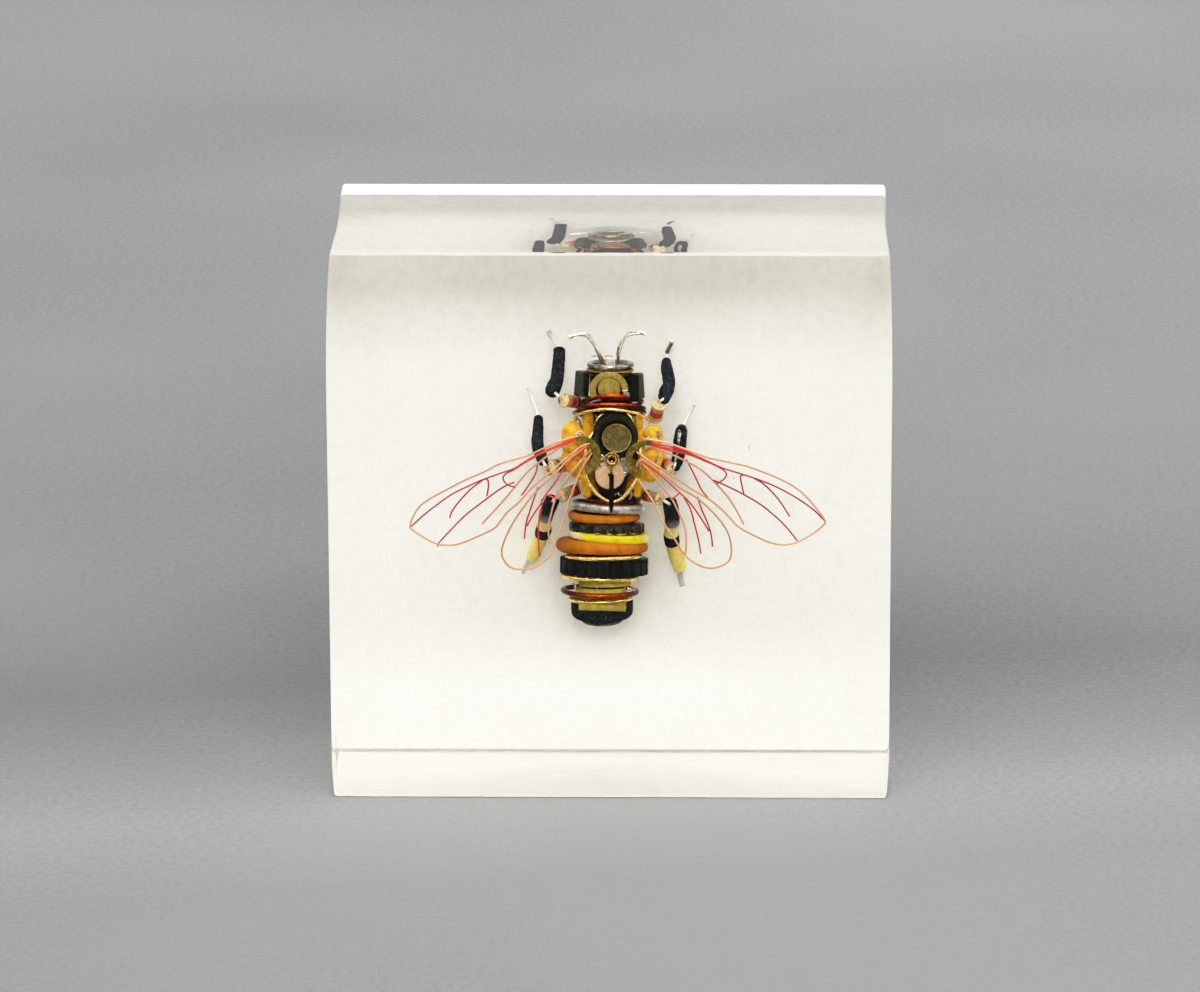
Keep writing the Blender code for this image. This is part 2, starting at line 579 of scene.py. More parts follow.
def wheel(name, mat, origin, normal, outline, half, count, hole=0.3, chamfer=0.04, up=None, angle=35, dish=0.0):
    """A toothed wheel: outline(angle) gives its radius in mm; half is half its thickness."""
    x, y, n = basis(normal, up or (Vector((0, 0, 1)) if abs(normal.normalized().z) < 0.9 else Vector((0, -1, 0))))
    bm = bmesh.new()

    def ring(fn, h):
        out = []
        for k in range(count):
            a = 2 * math.pi * k / count
            out.append(bm.verts.new(origin + (x * math.cos(a) + y * math.sin(a)) * fn(a) * MM + n * h * MM))
        return out

    loops = [ring(lambda a: hole, -half), ring(lambda a: outline(a) - chamfer, -half), ring(outline, -half + chamfer),
             ring(outline, half - chamfer), ring(lambda a: outline(a) - chamfer, half),
             ring(lambda a: hole + 0.6 * (min(outline(b * 0.1) for b in range(63)) - hole), half - dish),
             ring(lambda a: hole, half - dish)]
    for i in range(len(loops)):
        A, B = loops[i], loops[(i + 1) % len(loops)]
        for k in range(count):
            bm.faces.new((A[k], A[(k + 1) % count], B[(k + 1) % count], B[k]))
    bmesh.ops.recalc_face_normals(bm, faces=bm.faces[:])
    return finish_piece(mesh_object(name, bm), mat, angle=angle)


def plate(name, mat, centre_px, widths_px, depth, thick=0.3, steps=5, chamfer=0.05, lift=None):
    """A flat strip that follows a line of pixels, at a depth, with broken edges."""
    pts = [at(x, y, depth if lift is None else depth + lift(x, y)) for x, y in centre_px]
    path = smooth_path(pts, steps)
    ws = []
    for i in range(len(path)):
        f = i / (len(path) - 1) * (len(widths_px) - 1)
        j = min(int(f), len(widths_px) - 2)
        ws.append((widths_px[j] + (widths_px[j + 1] - widths_px[j]) * (f - j)) * mpp(depth) / 2)
    bm = bmesh.new()
    n = FACING
    loops = []
    c = chamfer * MM
    for i, p in enumerate(path):
        a = path[max(i - 1, 0)]
        b = path[min(i + 1, len(path) - 1)]
        t = (b - a).normalized()
        s = t.cross(n).normalized()
        w, h = ws[i], thick * MM / 2
        loops.append([bm.verts.new(p + s * sx + n * hz) for sx, hz in
                      ((-w, -h), (-w, h - c), (-w + c, h), (0, h), (w - c, h), (w, h - c), (w, -h))])
    m = len(loops[0])
    for i in range(len(loops) - 1):
        for k in range(m):
            bm.faces.new((loops[i][k], loops[i][(k + 1) % m], loops[i + 1][(k + 1) % m], loops[i + 1][k]))
    bm.faces.new(loops[0][::-1])
    bm.faces.new(loops[-1])
    bmesh.ops.recalc_face_normals(bm, faces=bm.faces[:])
    return finish_piece(mesh_object(name, bm), mat, angle=35)


def rounded_box(name, mat, centre, size, turn=(0, 0, 0), bevel=0.2, segs=4, taper=0.0, fine=0):
    bm = bmesh.new()
    bmesh.ops.create_cube(bm, size=1.0)
    for v in bm.verts:
        v.co = Vector((v.co.x * size[0], v.co.y * size[1], v.co.z * size[2])) * MM
        if taper:
            k = 1.0 - taper * (0.5 - v.co.z / (size[2] * MM))
            v.co.x *= k
    bmesh.ops.bevel(bm, geom=bm.edges[:], offset=bevel * MM, segments=segs, profile=0.5, affect="EDGES")
    rot = Matrix.Rotation(turn[2], 4, "Z") @ Matrix.Rotation(turn[1], 4, "Y") @ Matrix.Rotation(turn[0], 4, "X")
    bmesh.ops.transform(bm, matrix=Matrix.Translation(centre) @ rot, verts=bm.verts[:])
    bmesh.ops.recalc_face_normals(bm, faces=bm.faces[:])
    return finish_piece(mesh_object(name, bm), mat, angle=40)


def blob(name, mat, centre, radii, seed=0, lumps=0.04, power=2.4, subdiv=4):
    """A closed rounded lump: a ball pressed towards a box, with slight waves."""
    bm = bmesh.new()
    bmesh.ops.create_icosphere(bm, subdivisions=subdiv, radius=1.0)
    rnd = random.Random(seed)
    waves = [(Vector((rnd.uniform(-1, 1), rnd.uniform(-1, 1), rnd.uniform(-1, 1))) * rnd.uniform(2, 5), rnd.uniform(0, 6))
             for _ in range(6)]
    for v in bm.verts:
        d = v.co.normalized()
        k = (abs(d.x) ** power + abs(d.y) ** power + abs(d.z) ** power) ** (-1 / power)
        k *= 1 + lumps * sum(math.sin(w.dot(d) + ph) for w, ph in waves) / 3
        v.co = centre + Vector((d.x * radii[0], d.y * radii[1], d.z * radii[2])) * k * MM
    bmesh.ops.recalc_face_normals(bm, faces=bm.faces[:])
    return finish_piece(mesh_object(name, bm), mat, angle=180)


# ------------------------------------------------------------------ materials of the bee
def stuff(name, dark, light, rough=(0.35, 0.55), scale=2500, metallic=0.0, ior=1.12, bumps=0.15, bump_scale=None,
          lo=0.35, hi=0.65, detail=4, coat=0.0, stretch=None, specks=None, fade=None):
    """A surface whose colour, gloss and relief vary together; the bee sits in resin, so plain plastics gleam little.
    specks = (colour, scale, share) puts small dots on it; fade = (axis, centre, from, to, colour) turns it to a colour
    with the distance along one axis."""
    mat, nt, sh = new_material(name)
    co = object_coords(nt, stretch or (1, 1, 1))
    n = noise(nt, co, scale, detail, 0.6)
    col = ramp(nt, n, [(lo, dark), (hi, light)])

    def blend(a, b_colour, fac):
        mix = nt.nodes.new("ShaderNodeMix")
        mix.data_type = "RGBA"
        nt.links.new(fac, mix.inputs["Factor"])
        nt.links.new(a, mix.inputs["A"])
        mix.inputs["B"].default_value = (*b_colour, 1)
        return mix.outputs["Result"]

    # several materials below use the fade for painted shade and light (the darker ends of a ring, the lit side of an
    # eye block); others for real colour changes
    if fade:
        axis, centre, near, far, colour = fade
        sep = nt.nodes.new("ShaderNodeSeparateXYZ")
        nt.links.new(object_coords(nt), sep.inputs["Vector"])
        sub = nt.nodes.new("ShaderNodeMath")
        sub.operation = "SUBTRACT"
        nt.links.new(sep.outputs[axis], sub.inputs[0])
        sub.inputs[1].default_value = centre
        value = sub.outputs["Value"]
        if near >= 0:
            ab = nt.nodes.new("ShaderNodeMath")
            ab.operation = "ABSOLUTE"
            nt.links.new(value, ab.inputs[0])
            value = ab.outputs["Value"]
        wav = noise(nt, object_coords(nt), 900, 3, 0.5)
        add = nt.nodes.new("ShaderNodeMath")
        add.operation = "MULTIPLY_ADD"
        nt.links.new(wav, add.inputs[0])
        add.inputs[1].default_value = (far - near) * 0.6
        nt.links.new(value, add.inputs[2])
        col = blend(col, colour, map_range(nt, add.outputs["Value"], near + (far - near) * 0.3, far + (far - near) * 0.3, 0.0, 1.0))
    if specks:
        colour, size, share = specks
        dots = noise(nt, object_coords(nt), size, 2, 0.5)
        col = blend(col, colour, map_range(nt, dots, 1 - share - 0.03, 1 - share + 0.03, 0.0, 1.0))
    nt.links.new(col, sh.inputs["Base Color"])
    n2 = noise(nt, co, scale * 1.7, 3, 0.6)
    nt.links.new(map_range(nt, n2, 0.3, 0.7, rough[0], rough[1]), sh.inputs["Roughness"])
    sh.inputs["Metallic"].default_value = metallic
    sh.inputs["IOR"].default_value = ior
    if coat:
        sh.inputs["Coat Weight"].default_value = coat
        sh.inputs["Coat Roughness"].default_value = 0.08
        sh.inputs["Coat IOR"].default_value = 1.25
    if bumps:
        n3 = noise(nt, co, bump_scale or scale * 1.3, 4, 0.65)
        bump(nt, sh, n3, bumps, 0.00006)
    return mat


M = {}


def make_materials():
    mid = at(609.3, 540, 25.3).x
    M["gold_wire"] = stuff("gold_wire", (0.84, 0.53, 0.12), (0.98, 0.74, 0.27), (0.19, 0.29), 900, 1.0, 1.5, 0.0)
    M["gold_wire_worn"] = stuff("gold_wire_worn", (0.40, 0.24, 0.05), (0.86, 0.58, 0.18), (0.26, 0.42), 1700, 1.0, 1.5, 0.08)
    M["brass_aged"] = stuff("brass_aged", (0.070, 0.054, 0.020), (0.225, 0.162, 0.058), (0.38, 0.6), 1900, 0.85, 1.5, 0.2,
                            lo=0.33, hi=0.66, detail=10)
    M["brass_rim"] = stuff("brass_rim", (0.26, 0.19, 0.055), (0.50, 0.37, 0.12), (0.3, 0.45), 2200, 0.95, 1.5, 0.1)
    M["brass_face"] = stuff("brass_face", (0.20, 0.135, 0.030), (0.42, 0.30, 0.085), (0.34, 0.5), 1500, 0.9, 1.5, 0.22,
                            lo=0.30, hi=0.68, detail=10)
    M["brass_olive"] = stuff("brass_olive", (0.085, 0.060, 0.010), (0.285, 0.205, 0.040), (0.38, 0.6), 1900, 0.75, 1.5, 0.34,
                             lo=0.33, hi=0.66, detail=10)
    M["brass_bright"] = stuff("brass_bright", (0.66, 0.44, 0.12), (0.92, 0.68, 0.26), (0.20, 0.34), 1800, 1.0, 1.5, 0.08)
    M["copper_wheel"] = stuff("copper_wheel", (0.62, 0.36, 0.19), (0.78, 0.49, 0.30), (0.42, 0.6), 2400, 0.75, 1.5, 0.16, detail=8)
    M["copper_wire"] = stuff("copper_wire", (0.84, 0.41, 0.24), (0.96, 0.57, 0.38), (0.34, 0.42), 700, 0.6, 1.45, 0.0,
                             fade=("X", mid, 0.0060, 0.0140, (0.70, 0.33, 0.19)))
    M["red_wire_thin"] = stuff("red_wire_thin", (0.72, 0.040, 0.022), (0.92, 0.115, 0.062), (0.28, 0.40), 700, 0.55, 1.5, 0.0,
                               fade=("X", mid, 0.0060, 0.0150, (0.44, 0.022, 0.026)))
    # painted shade: the enamel turns dark red-brown towards the ends of each ring, away from its lit front
    M["red_enamel"] = stuff("red_enamel", (0.44, 0.050, 0.005), (0.66, 0.095, 0.012), (0.20, 0.30), 700, 0.9, 1.4, 0.0,
                            fade=("X", mid + 0.0002, 0.0020, 0.0040, (0.085, 0.014, 0.006)))
    # painted shade: a darker copy of the red enamel for the lower turns, which sit in shade
    M["red_enamel_painted_shade"] = stuff("red_enamel_painted_shade", (0.030, 0.008, 0.006), (0.095, 0.018, 0.008), (0.18, 0.3), 700, 0.85, 1.4, 0.0)
    M["lilac_wire"] = stuff("lilac_wire", (0.30, 0.24, 0.24), (0.46, 0.38, 0.38), (0.4, 0.5), 900, 0.3, 1.2, 0.0)
    M["tinned"] = stuff("tinned", (0.52, 0.45, 0.36), (0.96, 0.93, 0.88), (0.17, 0.28), 700, 1.0, 1.5, 0.0, lo=0.36, hi=0.56, detail=3)
    M["lead_bright"] = stuff("lead_bright", (0.80, 0.78, 0.73), (0.96, 0.95, 0.92), (0.24, 0.36), 1500, 0.9, 1.5, 0.05)
    M["solder_grey"] = stuff("solder_grey", (0.25, 0.24, 0.21), (0.66, 0.64, 0.58), (0.28, 0.44), 1100, 0.95, 1.5, 0.30,
                             lo=0.34, hi=0.60, detail=8, bump_scale=1700)
    M["solder_plate"] = stuff("solder_plate", (0.20, 0.20, 0.18), (0.50, 0.50, 0.46), (0.30, 0.5), 1500, 0.9, 1.5, 0.3)
    M["head_ring"] = stuff("head_ring", (0.15, 0.148, 0.135), (0.42, 0.41, 0.375), (0.16, 0.32), 900, 1.0, 1.5, 0.20,
                           bump_scale=1500)
    M["tip_grey"] = stuff("tip_grey", (0.46, 0.46, 0.425), (0.66, 0.65, 0.61), (0.5, 0.7), 2200, 0.1, 1.2, 0.05)
    M["sleeve"] = stuff("black_sleeve", (0.006, 0.007, 0.011), (0.030, 0.033, 0.043), (0.5, 0.75), 2300, 0.0, 1.06, 0.9,
                        lo=0.35, hi=0.70, detail=8, bump_scale=2300, specks=((0.060, 0.065, 0.078), 3300, 0.35))
    M["sleeve_gloss"] = stuff("black_sleeve_gloss", (0.003, 0.003, 0.004), (0.013, 0.014, 0.017), (0.22, 0.36), 1800, 0.0, 1.11,
                              0.35, bump_scale=800)
    # painted highlight: a light grey, half-metal finish for the strips that stand for the shine on the glossy sleeve
    M["gleam"] = stuff("sleeve_painted_highlight", (0.060, 0.072, 0.080), (0.34, 0.385, 0.40), (0.18, 0.32), 1700, 0.6, 1.3, 0.2,
                       lo=0.36, hi=0.60, detail=8)
    M["black_rubber"] = stuff("black_rubber", (0.004, 0.005, 0.007), (0.026, 0.028, 0.032), (0.5, 0.8), 2800, 0.0, 1.05, 0.9,
                              lo=0.38, hi=0.72, detail=8, bump_scale=2600, specks=((0.070, 0.078, 0.085), 3600, 0.34))
    M["black_gear"] = stuff("black_gear", (0.004, 0.005, 0.004), (0.014, 0.015, 0.012), (0.26, 0.45), 1800, 0.0, 1.12, 0.15)
    M["black_metal"] = stuff("black_metal", (0.014, 0.013, 0.009), (0.044, 0.039, 0.027), (0.36, 0.52), 1900, 0.15, 1.1, 0.3,
                             lo=0.34, hi=0.66, detail=9)
    M["blade_black"] = stuff("blade_black", (0.005, 0.005, 0.005), (0.014, 0.013, 0.011), (0.4, 0.6), 1800, 0.0, 1.06, 0.2)
    # painted light and shade: the left eye block turns darker towards its inner side and the right one lighter towards
    # its outer side, as light falls on their rounded sides
    M["eye_left"] = stuff("eye_block_left", (0.034, 0.037, 0.027), (0.056, 0.060, 0.044), (0.30, 0.42), 1500, 0.0, 1.07, 0.08,
                          fade=("X", at(583.4, 384, 22).x, -0.00012, 0.00012, (0.010, 0.011, 0.008)))
    M["eye_right"] = stuff("eye_block_right", (0.008, 0.009, 0.007), (0.015, 0.016, 0.012), (0.30, 0.42), 1500, 0.0, 1.07, 0.08,
                           fade=("X", at(638.8, 384, 22).x, -0.00010, 0.00010, (0.046, 0.050, 0.038)))
    M["glassy_dark"] = stuff("glassy_dark", (0.007, 0.006, 0.003), (0.044, 0.038, 0.024), (0.14, 0.32), 1100, 0.0, 1.15,
                             0.3, lo=0.38, hi=0.70, detail=9, specks=((0.20, 0.14, 0.05), 1900, 0.355))
    # painted highlight: the domes take a lighter copy of the dark glass
    M["glassy_lump"] = stuff("glassy_lump", (0.010, 0.010, 0.006), (0.085, 0.085, 0.060), (0.10, 0.24), 1700, 0.0, 1.22, 0.25,
                             lo=0.36, hi=0.64, detail=8)
    # painted shade: the orange rubber turns darker brown towards the ends of its rings
    M["orange"] = stuff("orange_rubber", (0.36, 0.105, 0.008), (0.62, 0.20, 0.018), (0.45, 0.62), 800, 0.0, 1.10, 0.35,
                        lo=0.28, hi=0.70, detail=9, bump_scale=2600,
                        fade=("X", mid, 0.0030, 0.0062, (0.30, 0.10, 0.014)))
    M["yellow_green"] = stuff("yellow_green", (0.62, 0.49, 0.008), (0.80, 0.66, 0.030), (0.3, 0.5), 900, 0.0, 1.10, 0.1,
                              fade=("X", at(612.4, 540, 21).x, 0.0040, 0.0046, (0.84, 0.76, 0.38)))
    # painted shade: the olive plastic turns darker towards its sides
    M["olive_plastic"] = stuff("olive_plastic", (0.56, 0.44, 0.05), (0.76, 0.64, 0.11), (0.35, 0.5), 1300, 0.15, 1.15, 0.12,
                               fade=("X", mid - 0.0007, 0.0020, 0.0036, (0.32, 0.22, 0.03)))
    M["olive_box"] = stuff("olive_box", (0.26, 0.18, 0.028), (0.52, 0.40, 0.080), (0.35, 0.5), 1300, 0.2, 1.15, 0.25,
                           lo=0.3, hi=0.7, detail=9)
    M["ochre"] = stuff("ochre_insulation", (0.40, 0.175, 0.008), (0.78, 0.41, 0.030), (0.5, 0.7), 1300, 0.0, 1.08, 0.4,
                       lo=0.30, hi=0.68, detail=8, bump_scale=2200)
    M["ochre_dark"] = stuff("ochre_shaded", (0.16, 0.075, 0.010), (0.34, 0.165, 0.018), (0.5, 0.7), 1300, 0.0, 1.08, 0.3,
                            lo=0.28, hi=0.7, detail=5, bump_scale=2600)
    M["ochre_pale"] = stuff("ochre_bead", (0.44, 0.19, 0.012), (0.86, 0.49, 0.06), (0.5, 0.7), 1000, 0.0, 1.06, 0.4,
                            lo=0.32, hi=0.66, detail=10, bump_scale=2000)
    M["yellow_sleeve"] = stuff("yellow_sleeve", (0.78, 0.60, 0.14), (0.90, 0.76, 0.25), (0.4, 0.6), 1300, 0.0, 1.06, 0.12,
                               specks=((0.60, 0.50, 0.22), 1900, 0.32))
    M["pale_sleeve"] = stuff("pale_sleeve", (0.68, 0.55, 0.20), (0.84, 0.73, 0.36), (0.4, 0.6), 1300, 0.0, 1.1, 0.12)
    M["tan"] = stuff("resistor_tan", (0.52, 0.35, 0.165), (0.78, 0.60, 0.35), (0.35, 0.55), 1500, 0.0, 1.15, 0.15,
                     lo=0.30, hi=0.64, detail=8, specks=((0.13, 0.075, 0.035), 2100, 0.385))
    M["tan_edge"] = stuff("resistor_edge", (0.12, 0.070, 0.030), (0.40, 0.27, 0.13), (0.35, 0.5), 1900, 0.0, 1.15, 0.15)
    M["tan_side"] = stuff("resistor_side", (0.42, 0.30, 0.13), (0.60, 0.45, 0.22), (0.3, 0.5), 1500, 0.0, 1.15, 0.15)
    M["band_red"] = stuff("band_red", (0.40, 0.020, 0.026), (0.66, 0.060, 0.062), (0.3, 0.45), 1500, 0.0, 1.3, 0.1, detail=7)
    M["band_brown"] = stuff("band_brown", (0.055, 0.022, 0.010), (0.13, 0.058, 0.028), (0.3, 0.5), 1300, 0.0, 1.2, 0.1)
    M["band_green"] = stuff("band_green", (0.27, 0.235, 0.045), (0.42, 0.37, 0.085), (0.3, 0.5), 1300, 0.0, 1.2, 0.1)
    M["band_black"] = stuff("band_black", (0.010, 0.010, 0.010), (0.030, 0.028, 0.025), (0.3, 0.5), 1300, 0.0, 1.2, 0.1)
    M["core"] = stuff("dark_core", (0.006, 0.005, 0.004), (0.030, 0.020, 0.012), (0.4, 0.6), 1500, 0.1, 1.1, 0.3)
    M["core_brown"] = stuff("brown_core", (0.05, 0.032, 0.012), (0.20, 0.135, 0.045), (0.35, 0.55), 1500, 0.5, 1.2, 0.4)
    M["chip"] = stuff("head_chip", (0.58, 0.56, 0.50), (0.84, 0.82, 0.76), (0.2, 0.35), 1200, 0.3, 1.3, 0.1)
    M["slot_metal"] = stuff("slot_metal", (0.10, 0.085, 0.085), (0.46, 0.41, 0.39), (0.4, 0.6), 2300, 0.6, 1.3, 0.5, lo=0.36, hi=0.64, detail=9)
    M["end_grey"] = stuff("end_grey", (0.075, 0.082, 0.062), (0.15, 0.165, 0.125), (0.25, 0.42), 1300, 0.3, 1.2, 0.15)
    for side, z_dust, z_black in (("left", at(545, 521.4, 26.5).z, at(547, 512.5, 25.3).z), ("right", at(672, 527.4, 26.6).z, at(672, 518.0, 25.5).z)):
        M["sleeve_dust_" + side] = stuff("dusty_sleeve_" + side, (0.20, 0.205, 0.205), (0.36, 0.36, 0.35), (0.5, 0.75), 2600, 0.0, 1.12, 0.5,
                                         lo=0.35, hi=0.72, detail=6, bump_scale=3000,
                                         fade=("Z", (z_dust + z_black) / 2, -(z_black - z_dust) / 2, (z_black - z_dust) / 2, (0.014, 0.015, 0.020)))
    M["wrap"] = stuff("wrap", (0.035, 0.018, 0.014), (0.22, 0.15, 0.12), (0.3, 0.5), 2200, 0.3, 1.3, 0.3, lo=0.38, hi=0.68)
    M["tip_white"] = stuff("tip_white", (0.55, 0.54, 0.50), (0.84, 0.83, 0.79), (0.15, 0.3), 1300, 0.5, 1.4, 0.1)
    # painted shade: this enamel turns dark towards the ends of its rings
    M["red_enamel_mix"] = stuff("red_enamel_mix", (0.30, 0.034, 0.006), (0.52, 0.064, 0.010), (0.16, 0.28), 520, 0.9, 1.4, 0.0, lo=0.42, hi=0.60, detail=2,
                                fade=("X", mid - 0.0008, 0.0018, 0.0042, (0.075, 0.012, 0.006)))
    M["fibre"] = stuff("fibre", (0.50, 0.46, 0.36), (0.70, 0.66, 0.54), (0.4, 0.6), 1300, 0.0, 1.2, 0.0)
    M["speck"] = stuff("speck", (0.30, 0.28, 0.24), (0.50, 0.47, 0.42), (0.5, 0.7), 3000, 0.0, 1.2, 0.0)
    M["speck_amber"] = stuff("speck_amber", (0.56, 0.40, 0.18), (0.72, 0.56, 0.30), (0.5, 0.7), 3000, 0.0, 1.2, 0.0)


# ------------------------------------------------------------------ the bee
AXIS = 25.3       # depth of the body's own axis, mm behind the window


def ring_frame(xl, yl, xr, yr, yf, tube_px=0.0, axis=AXIS):
    """Centre, side and forward vectors of a level ring whose ends and front show at these pixels."""
    t = tube_px / 2
    a, b = at(xl + t, yl, axis), at(xr - t, yr, axis)
    c, u = (a + b) / 2, (b - a) / 2
    rad = u.length
    x_mid = (xl + xr) / 2
    tilt = 0.0
    for _ in range(4):
        p = at(x_mid, yf, axis - rad * math.cos(tilt) / MM)
        tilt = math.asin(max(-0.9, min(0.9, (p.z - c.z) / rad)))
    f = Vector((0, -math.cos(tilt), math.sin(tilt)))
    f = (f - u.normalized() * f.dot(u.normalized())).normalized()
    return c, u, f, rad


def ring_up(u, f):
    up = f.cross(u.normalized()).normalized()
    return up if up.z > 0 else -up


def hoop(name, slot, mat, xl, yl, xr, yr, yf, tube_px, axis=AXIS, wob=0.0, seed=0, thick=None, sides=16, n=72, square=1.0,
         fuzz=0.0):
    """A ring of wire or rubber about the body."""
    c, u, f, rad = ring_frame(xl, yl, xr, yr, yf, tube_px, axis)
    up = ring_up(u, f)
    r = tube_px / 2 * mpp(axis)
    rnd = random.Random(seed)
    ph = [rnd.uniform(0, 6.28) for _ in range(4)]
    path = []
    for k in range(n):
        a = 2 * math.pi * k / n
        w = wob * (math.sin(2 * a + ph[0]) + 0.6 * math.sin(3 * a + ph[1]) + 0.4 * math.sin(5 * a + ph[2])) * MM
        path.append(c + u * (math.cos(a) * (1 + w / rad)) + f * (math.sin(a) * (rad + w)) + up * w * 0.7)

    def radius(t):
        a = 2 * math.pi * t
        k = thick(a) if thick else 1.0
        k *= 1 + 0.015 * math.sin(7 * a + ph[3])
        return (r * k, r * k)
    return tube(name, mat, path, radius, sides=sides, closed=True, ref=up, angle=180, square=square, fuzz=fuzz)


def px_path(points, depth, steps=6):
    """A smooth path through pixels; a point may give its own depth as a third number."""
    return smooth_path([at(p[0], p[1], p[2] if len(p) > 2 else depth) for p in points], steps)


def make_head():
    m = mpp(22.5)
    # antennae: two strands of tinned wire twisted together, bent outward, with clipped ends
    for side, pts, start in (
            ("left", [(604.6, 369.0, 24.7), (603.3, 364.0, 24.4), (601.1, 358.6, 24.0), (598.2, 352.6, 23.6), (595.2, 347.0, 23.2), (592.5, 341.8, 22.9),
                      (589.4, 337.4, 22.7), (585.6, 334.7, 22.5), (580.3, 334.2, 22.4), (574.2, 335.4, 22.3), (569.4, 337.4, 22.2)], 0.4),
            ("right", [(617.2, 369.0, 24.7), (617.4, 364.0, 24.4), (617.8, 358.0, 24.0), (618.8, 351.6, 23.6), (620.3, 345.6, 23.2), (623.0, 339.9, 22.9),
                       (627.0, 335.5, 22.8), (632.3, 333.3, 22.7), (637.7, 332.6, 22.6), (642.3, 333.0, 22.6), (645.8, 334.6, 22.6)], 1.9)):
        twisted("antenna_" + side, M["tinned"], px_path(pts, 23, 9), 1.52 * m,
                lambda t: (1.04 + 0.5 * max(0.0, (t - 0.94) / 0.06)) * m, 1.15, sides=18, start=start)
    # solder-grey ring on top of the head, gold wire under it
    hoop("head_ring", "tinned_wire", M["head_ring"], 587.0, 365.0, 634.2, 364.8, 367.9, 6.0, axis=24.4, wob=0.02, seed=3, sides=22,
         thick=lambda a: 1.0 + 0.05 * math.sin(2 * a))
    hoop("head_gold_wire", "brass", M["gold_wire_worn"], 586.0, 369.4, 634.4, 370.0, 372.4, 1.9, axis=25.0, wob=0.03, seed=33)
    hoop("head_brown_wire", "brass", M["core_brown"], 588.0, 368.0, 632.4, 368.6, 371.2, 2.6, axis=24.7, wob=0.05, seed=34)
    hoop("head_brown_wire_low", "brass", M["core_brown"], 588.0, 372.4, 632.4, 373.0, 376.0, 3.0, axis=25.2, wob=0.05, seed=35)
    for k, (x, y, rx, rz) in enumerate(((604.6, 365.4, 0.42, 0.36), (617.6, 365.6, 0.40, 0.38), (611.0, 366.8, 0.5, 0.25), (598.0, 366.2, 0.5, 0.22), (624.6, 366.2, 0.5, 0.22))):
        blob("head_solder_%d" % (k + 1), M["core_brown"], at(x, y, 24.2), (rx, 0.35, rz), seed=70 + k, lumps=0.14, subdiv=3)
    turned_piece("head_plate", M["core_brown"], at(610.4, 366.4, 24.5), Vector((0, -0.03, 1)),
                 [(0, -0.2), (2.55, -0.2), (2.6, -0.1), (2.6, 0.0), (2.5, 0.06), (1.5, 0.12), (0, 0.12)], 48)
    # clear chip with a thin wire, between the antennae
    rounded_box("head_chip", M["chip"], at(610.2, 361.8, 24.2), (1.25, 0.5, 1.0), (0, 0.02, 0.05), 0.07, 3)
    tube("head_chip_lead_left", M["lilac_wire"], px_path([(591.8, 356.3), (594.5, 355.8), (597.5, 356.2)], 24.9), 0.6 * m, sides=8)
    tube("head_chip_lead_right", M["lilac_wire"], px_path([(604.5, 356.8), (608, 355.7), (612.5, 356.5)], 24.0), 0.7 * m, sides=8)
    # skull: a dark turned body under the ring
    turned_piece("head_core", M["core"], at(610.0, 402, 25.2), Vector((0, 0, 1)),
                 [(0, 0), (2.6, 0), (2.75, 0.4), (2.7, 3.7), (2.35, 4.1), (0, 4.1)], 48)
    # face: washer with a gap, inner disc
    n = Vector((0, -1, 0.10)).normalized()
    o = at(609.2, 388.6, 21.95)
    turned_piece("face_disc", M["brass_face"], o, n,
                 [(0, -0.25), (1.46, -0.25), (1.54, -0.17), (1.55, 0.02), (1.50, 0.07), (0.9, 0.10), (0, 0.11)], 72)
    o = at(608.9, 390.4, 21.7)
    m2 = mpp(21.7)
    bm = bmesh.new()
    x, y, nn = basis(n)
    a0, a1 = math.radians(-1), math.radians(203)
    r_in, r_out, th = 12.9 * m2, 19.5 * m2, 0.36 * MM
    loops = []
    for k in range(97):
        a = a0 + (a1 - a0) * k / 96
        d = x * math.cos(a) + y * math.sin(a)
        c = 0.05 * MM
        loops.append([bm.verts.new(o + d * r + nn * h) for r, h in
                      ((r_in, -th / 2), (r_in, th / 2 - c), (r_in + c, th / 2), ((r_in + r_out) / 2, th / 2 + 0.02 * MM),
                       (r_out - c, th / 2), (r_out, th / 2 - c), (r_out, -th / 2))])
    for i in range(96):
        for k in range(7):
            bm.faces.new((loops[i][k], loops[i][(k + 1) % 7], loops[i + 1][(k + 1) % 7], loops[i + 1][k]))
    bm.faces.new(loops[0][::-1])
    bm.faces.new(loops[-1])
    bmesh.ops.recalc_face_normals(bm, faces=bm.faces[:])
    finish_piece(mesh_object("face_washer", bm), M["brass_face"], angle=35)
    rounded_box("face_washer_end", M["gold_wire"], at(625.0, 390.9, 21.5), (0.86, 0.30, 0.16), (0, -0.12, 0), 0.05, 2)
    rounded_box("face_chip", M["slot_metal"], at(626.0, 394.0, 21.9), (0.85, 0.4, 0.55), (0, 0.2, 0), 0.08, 2)
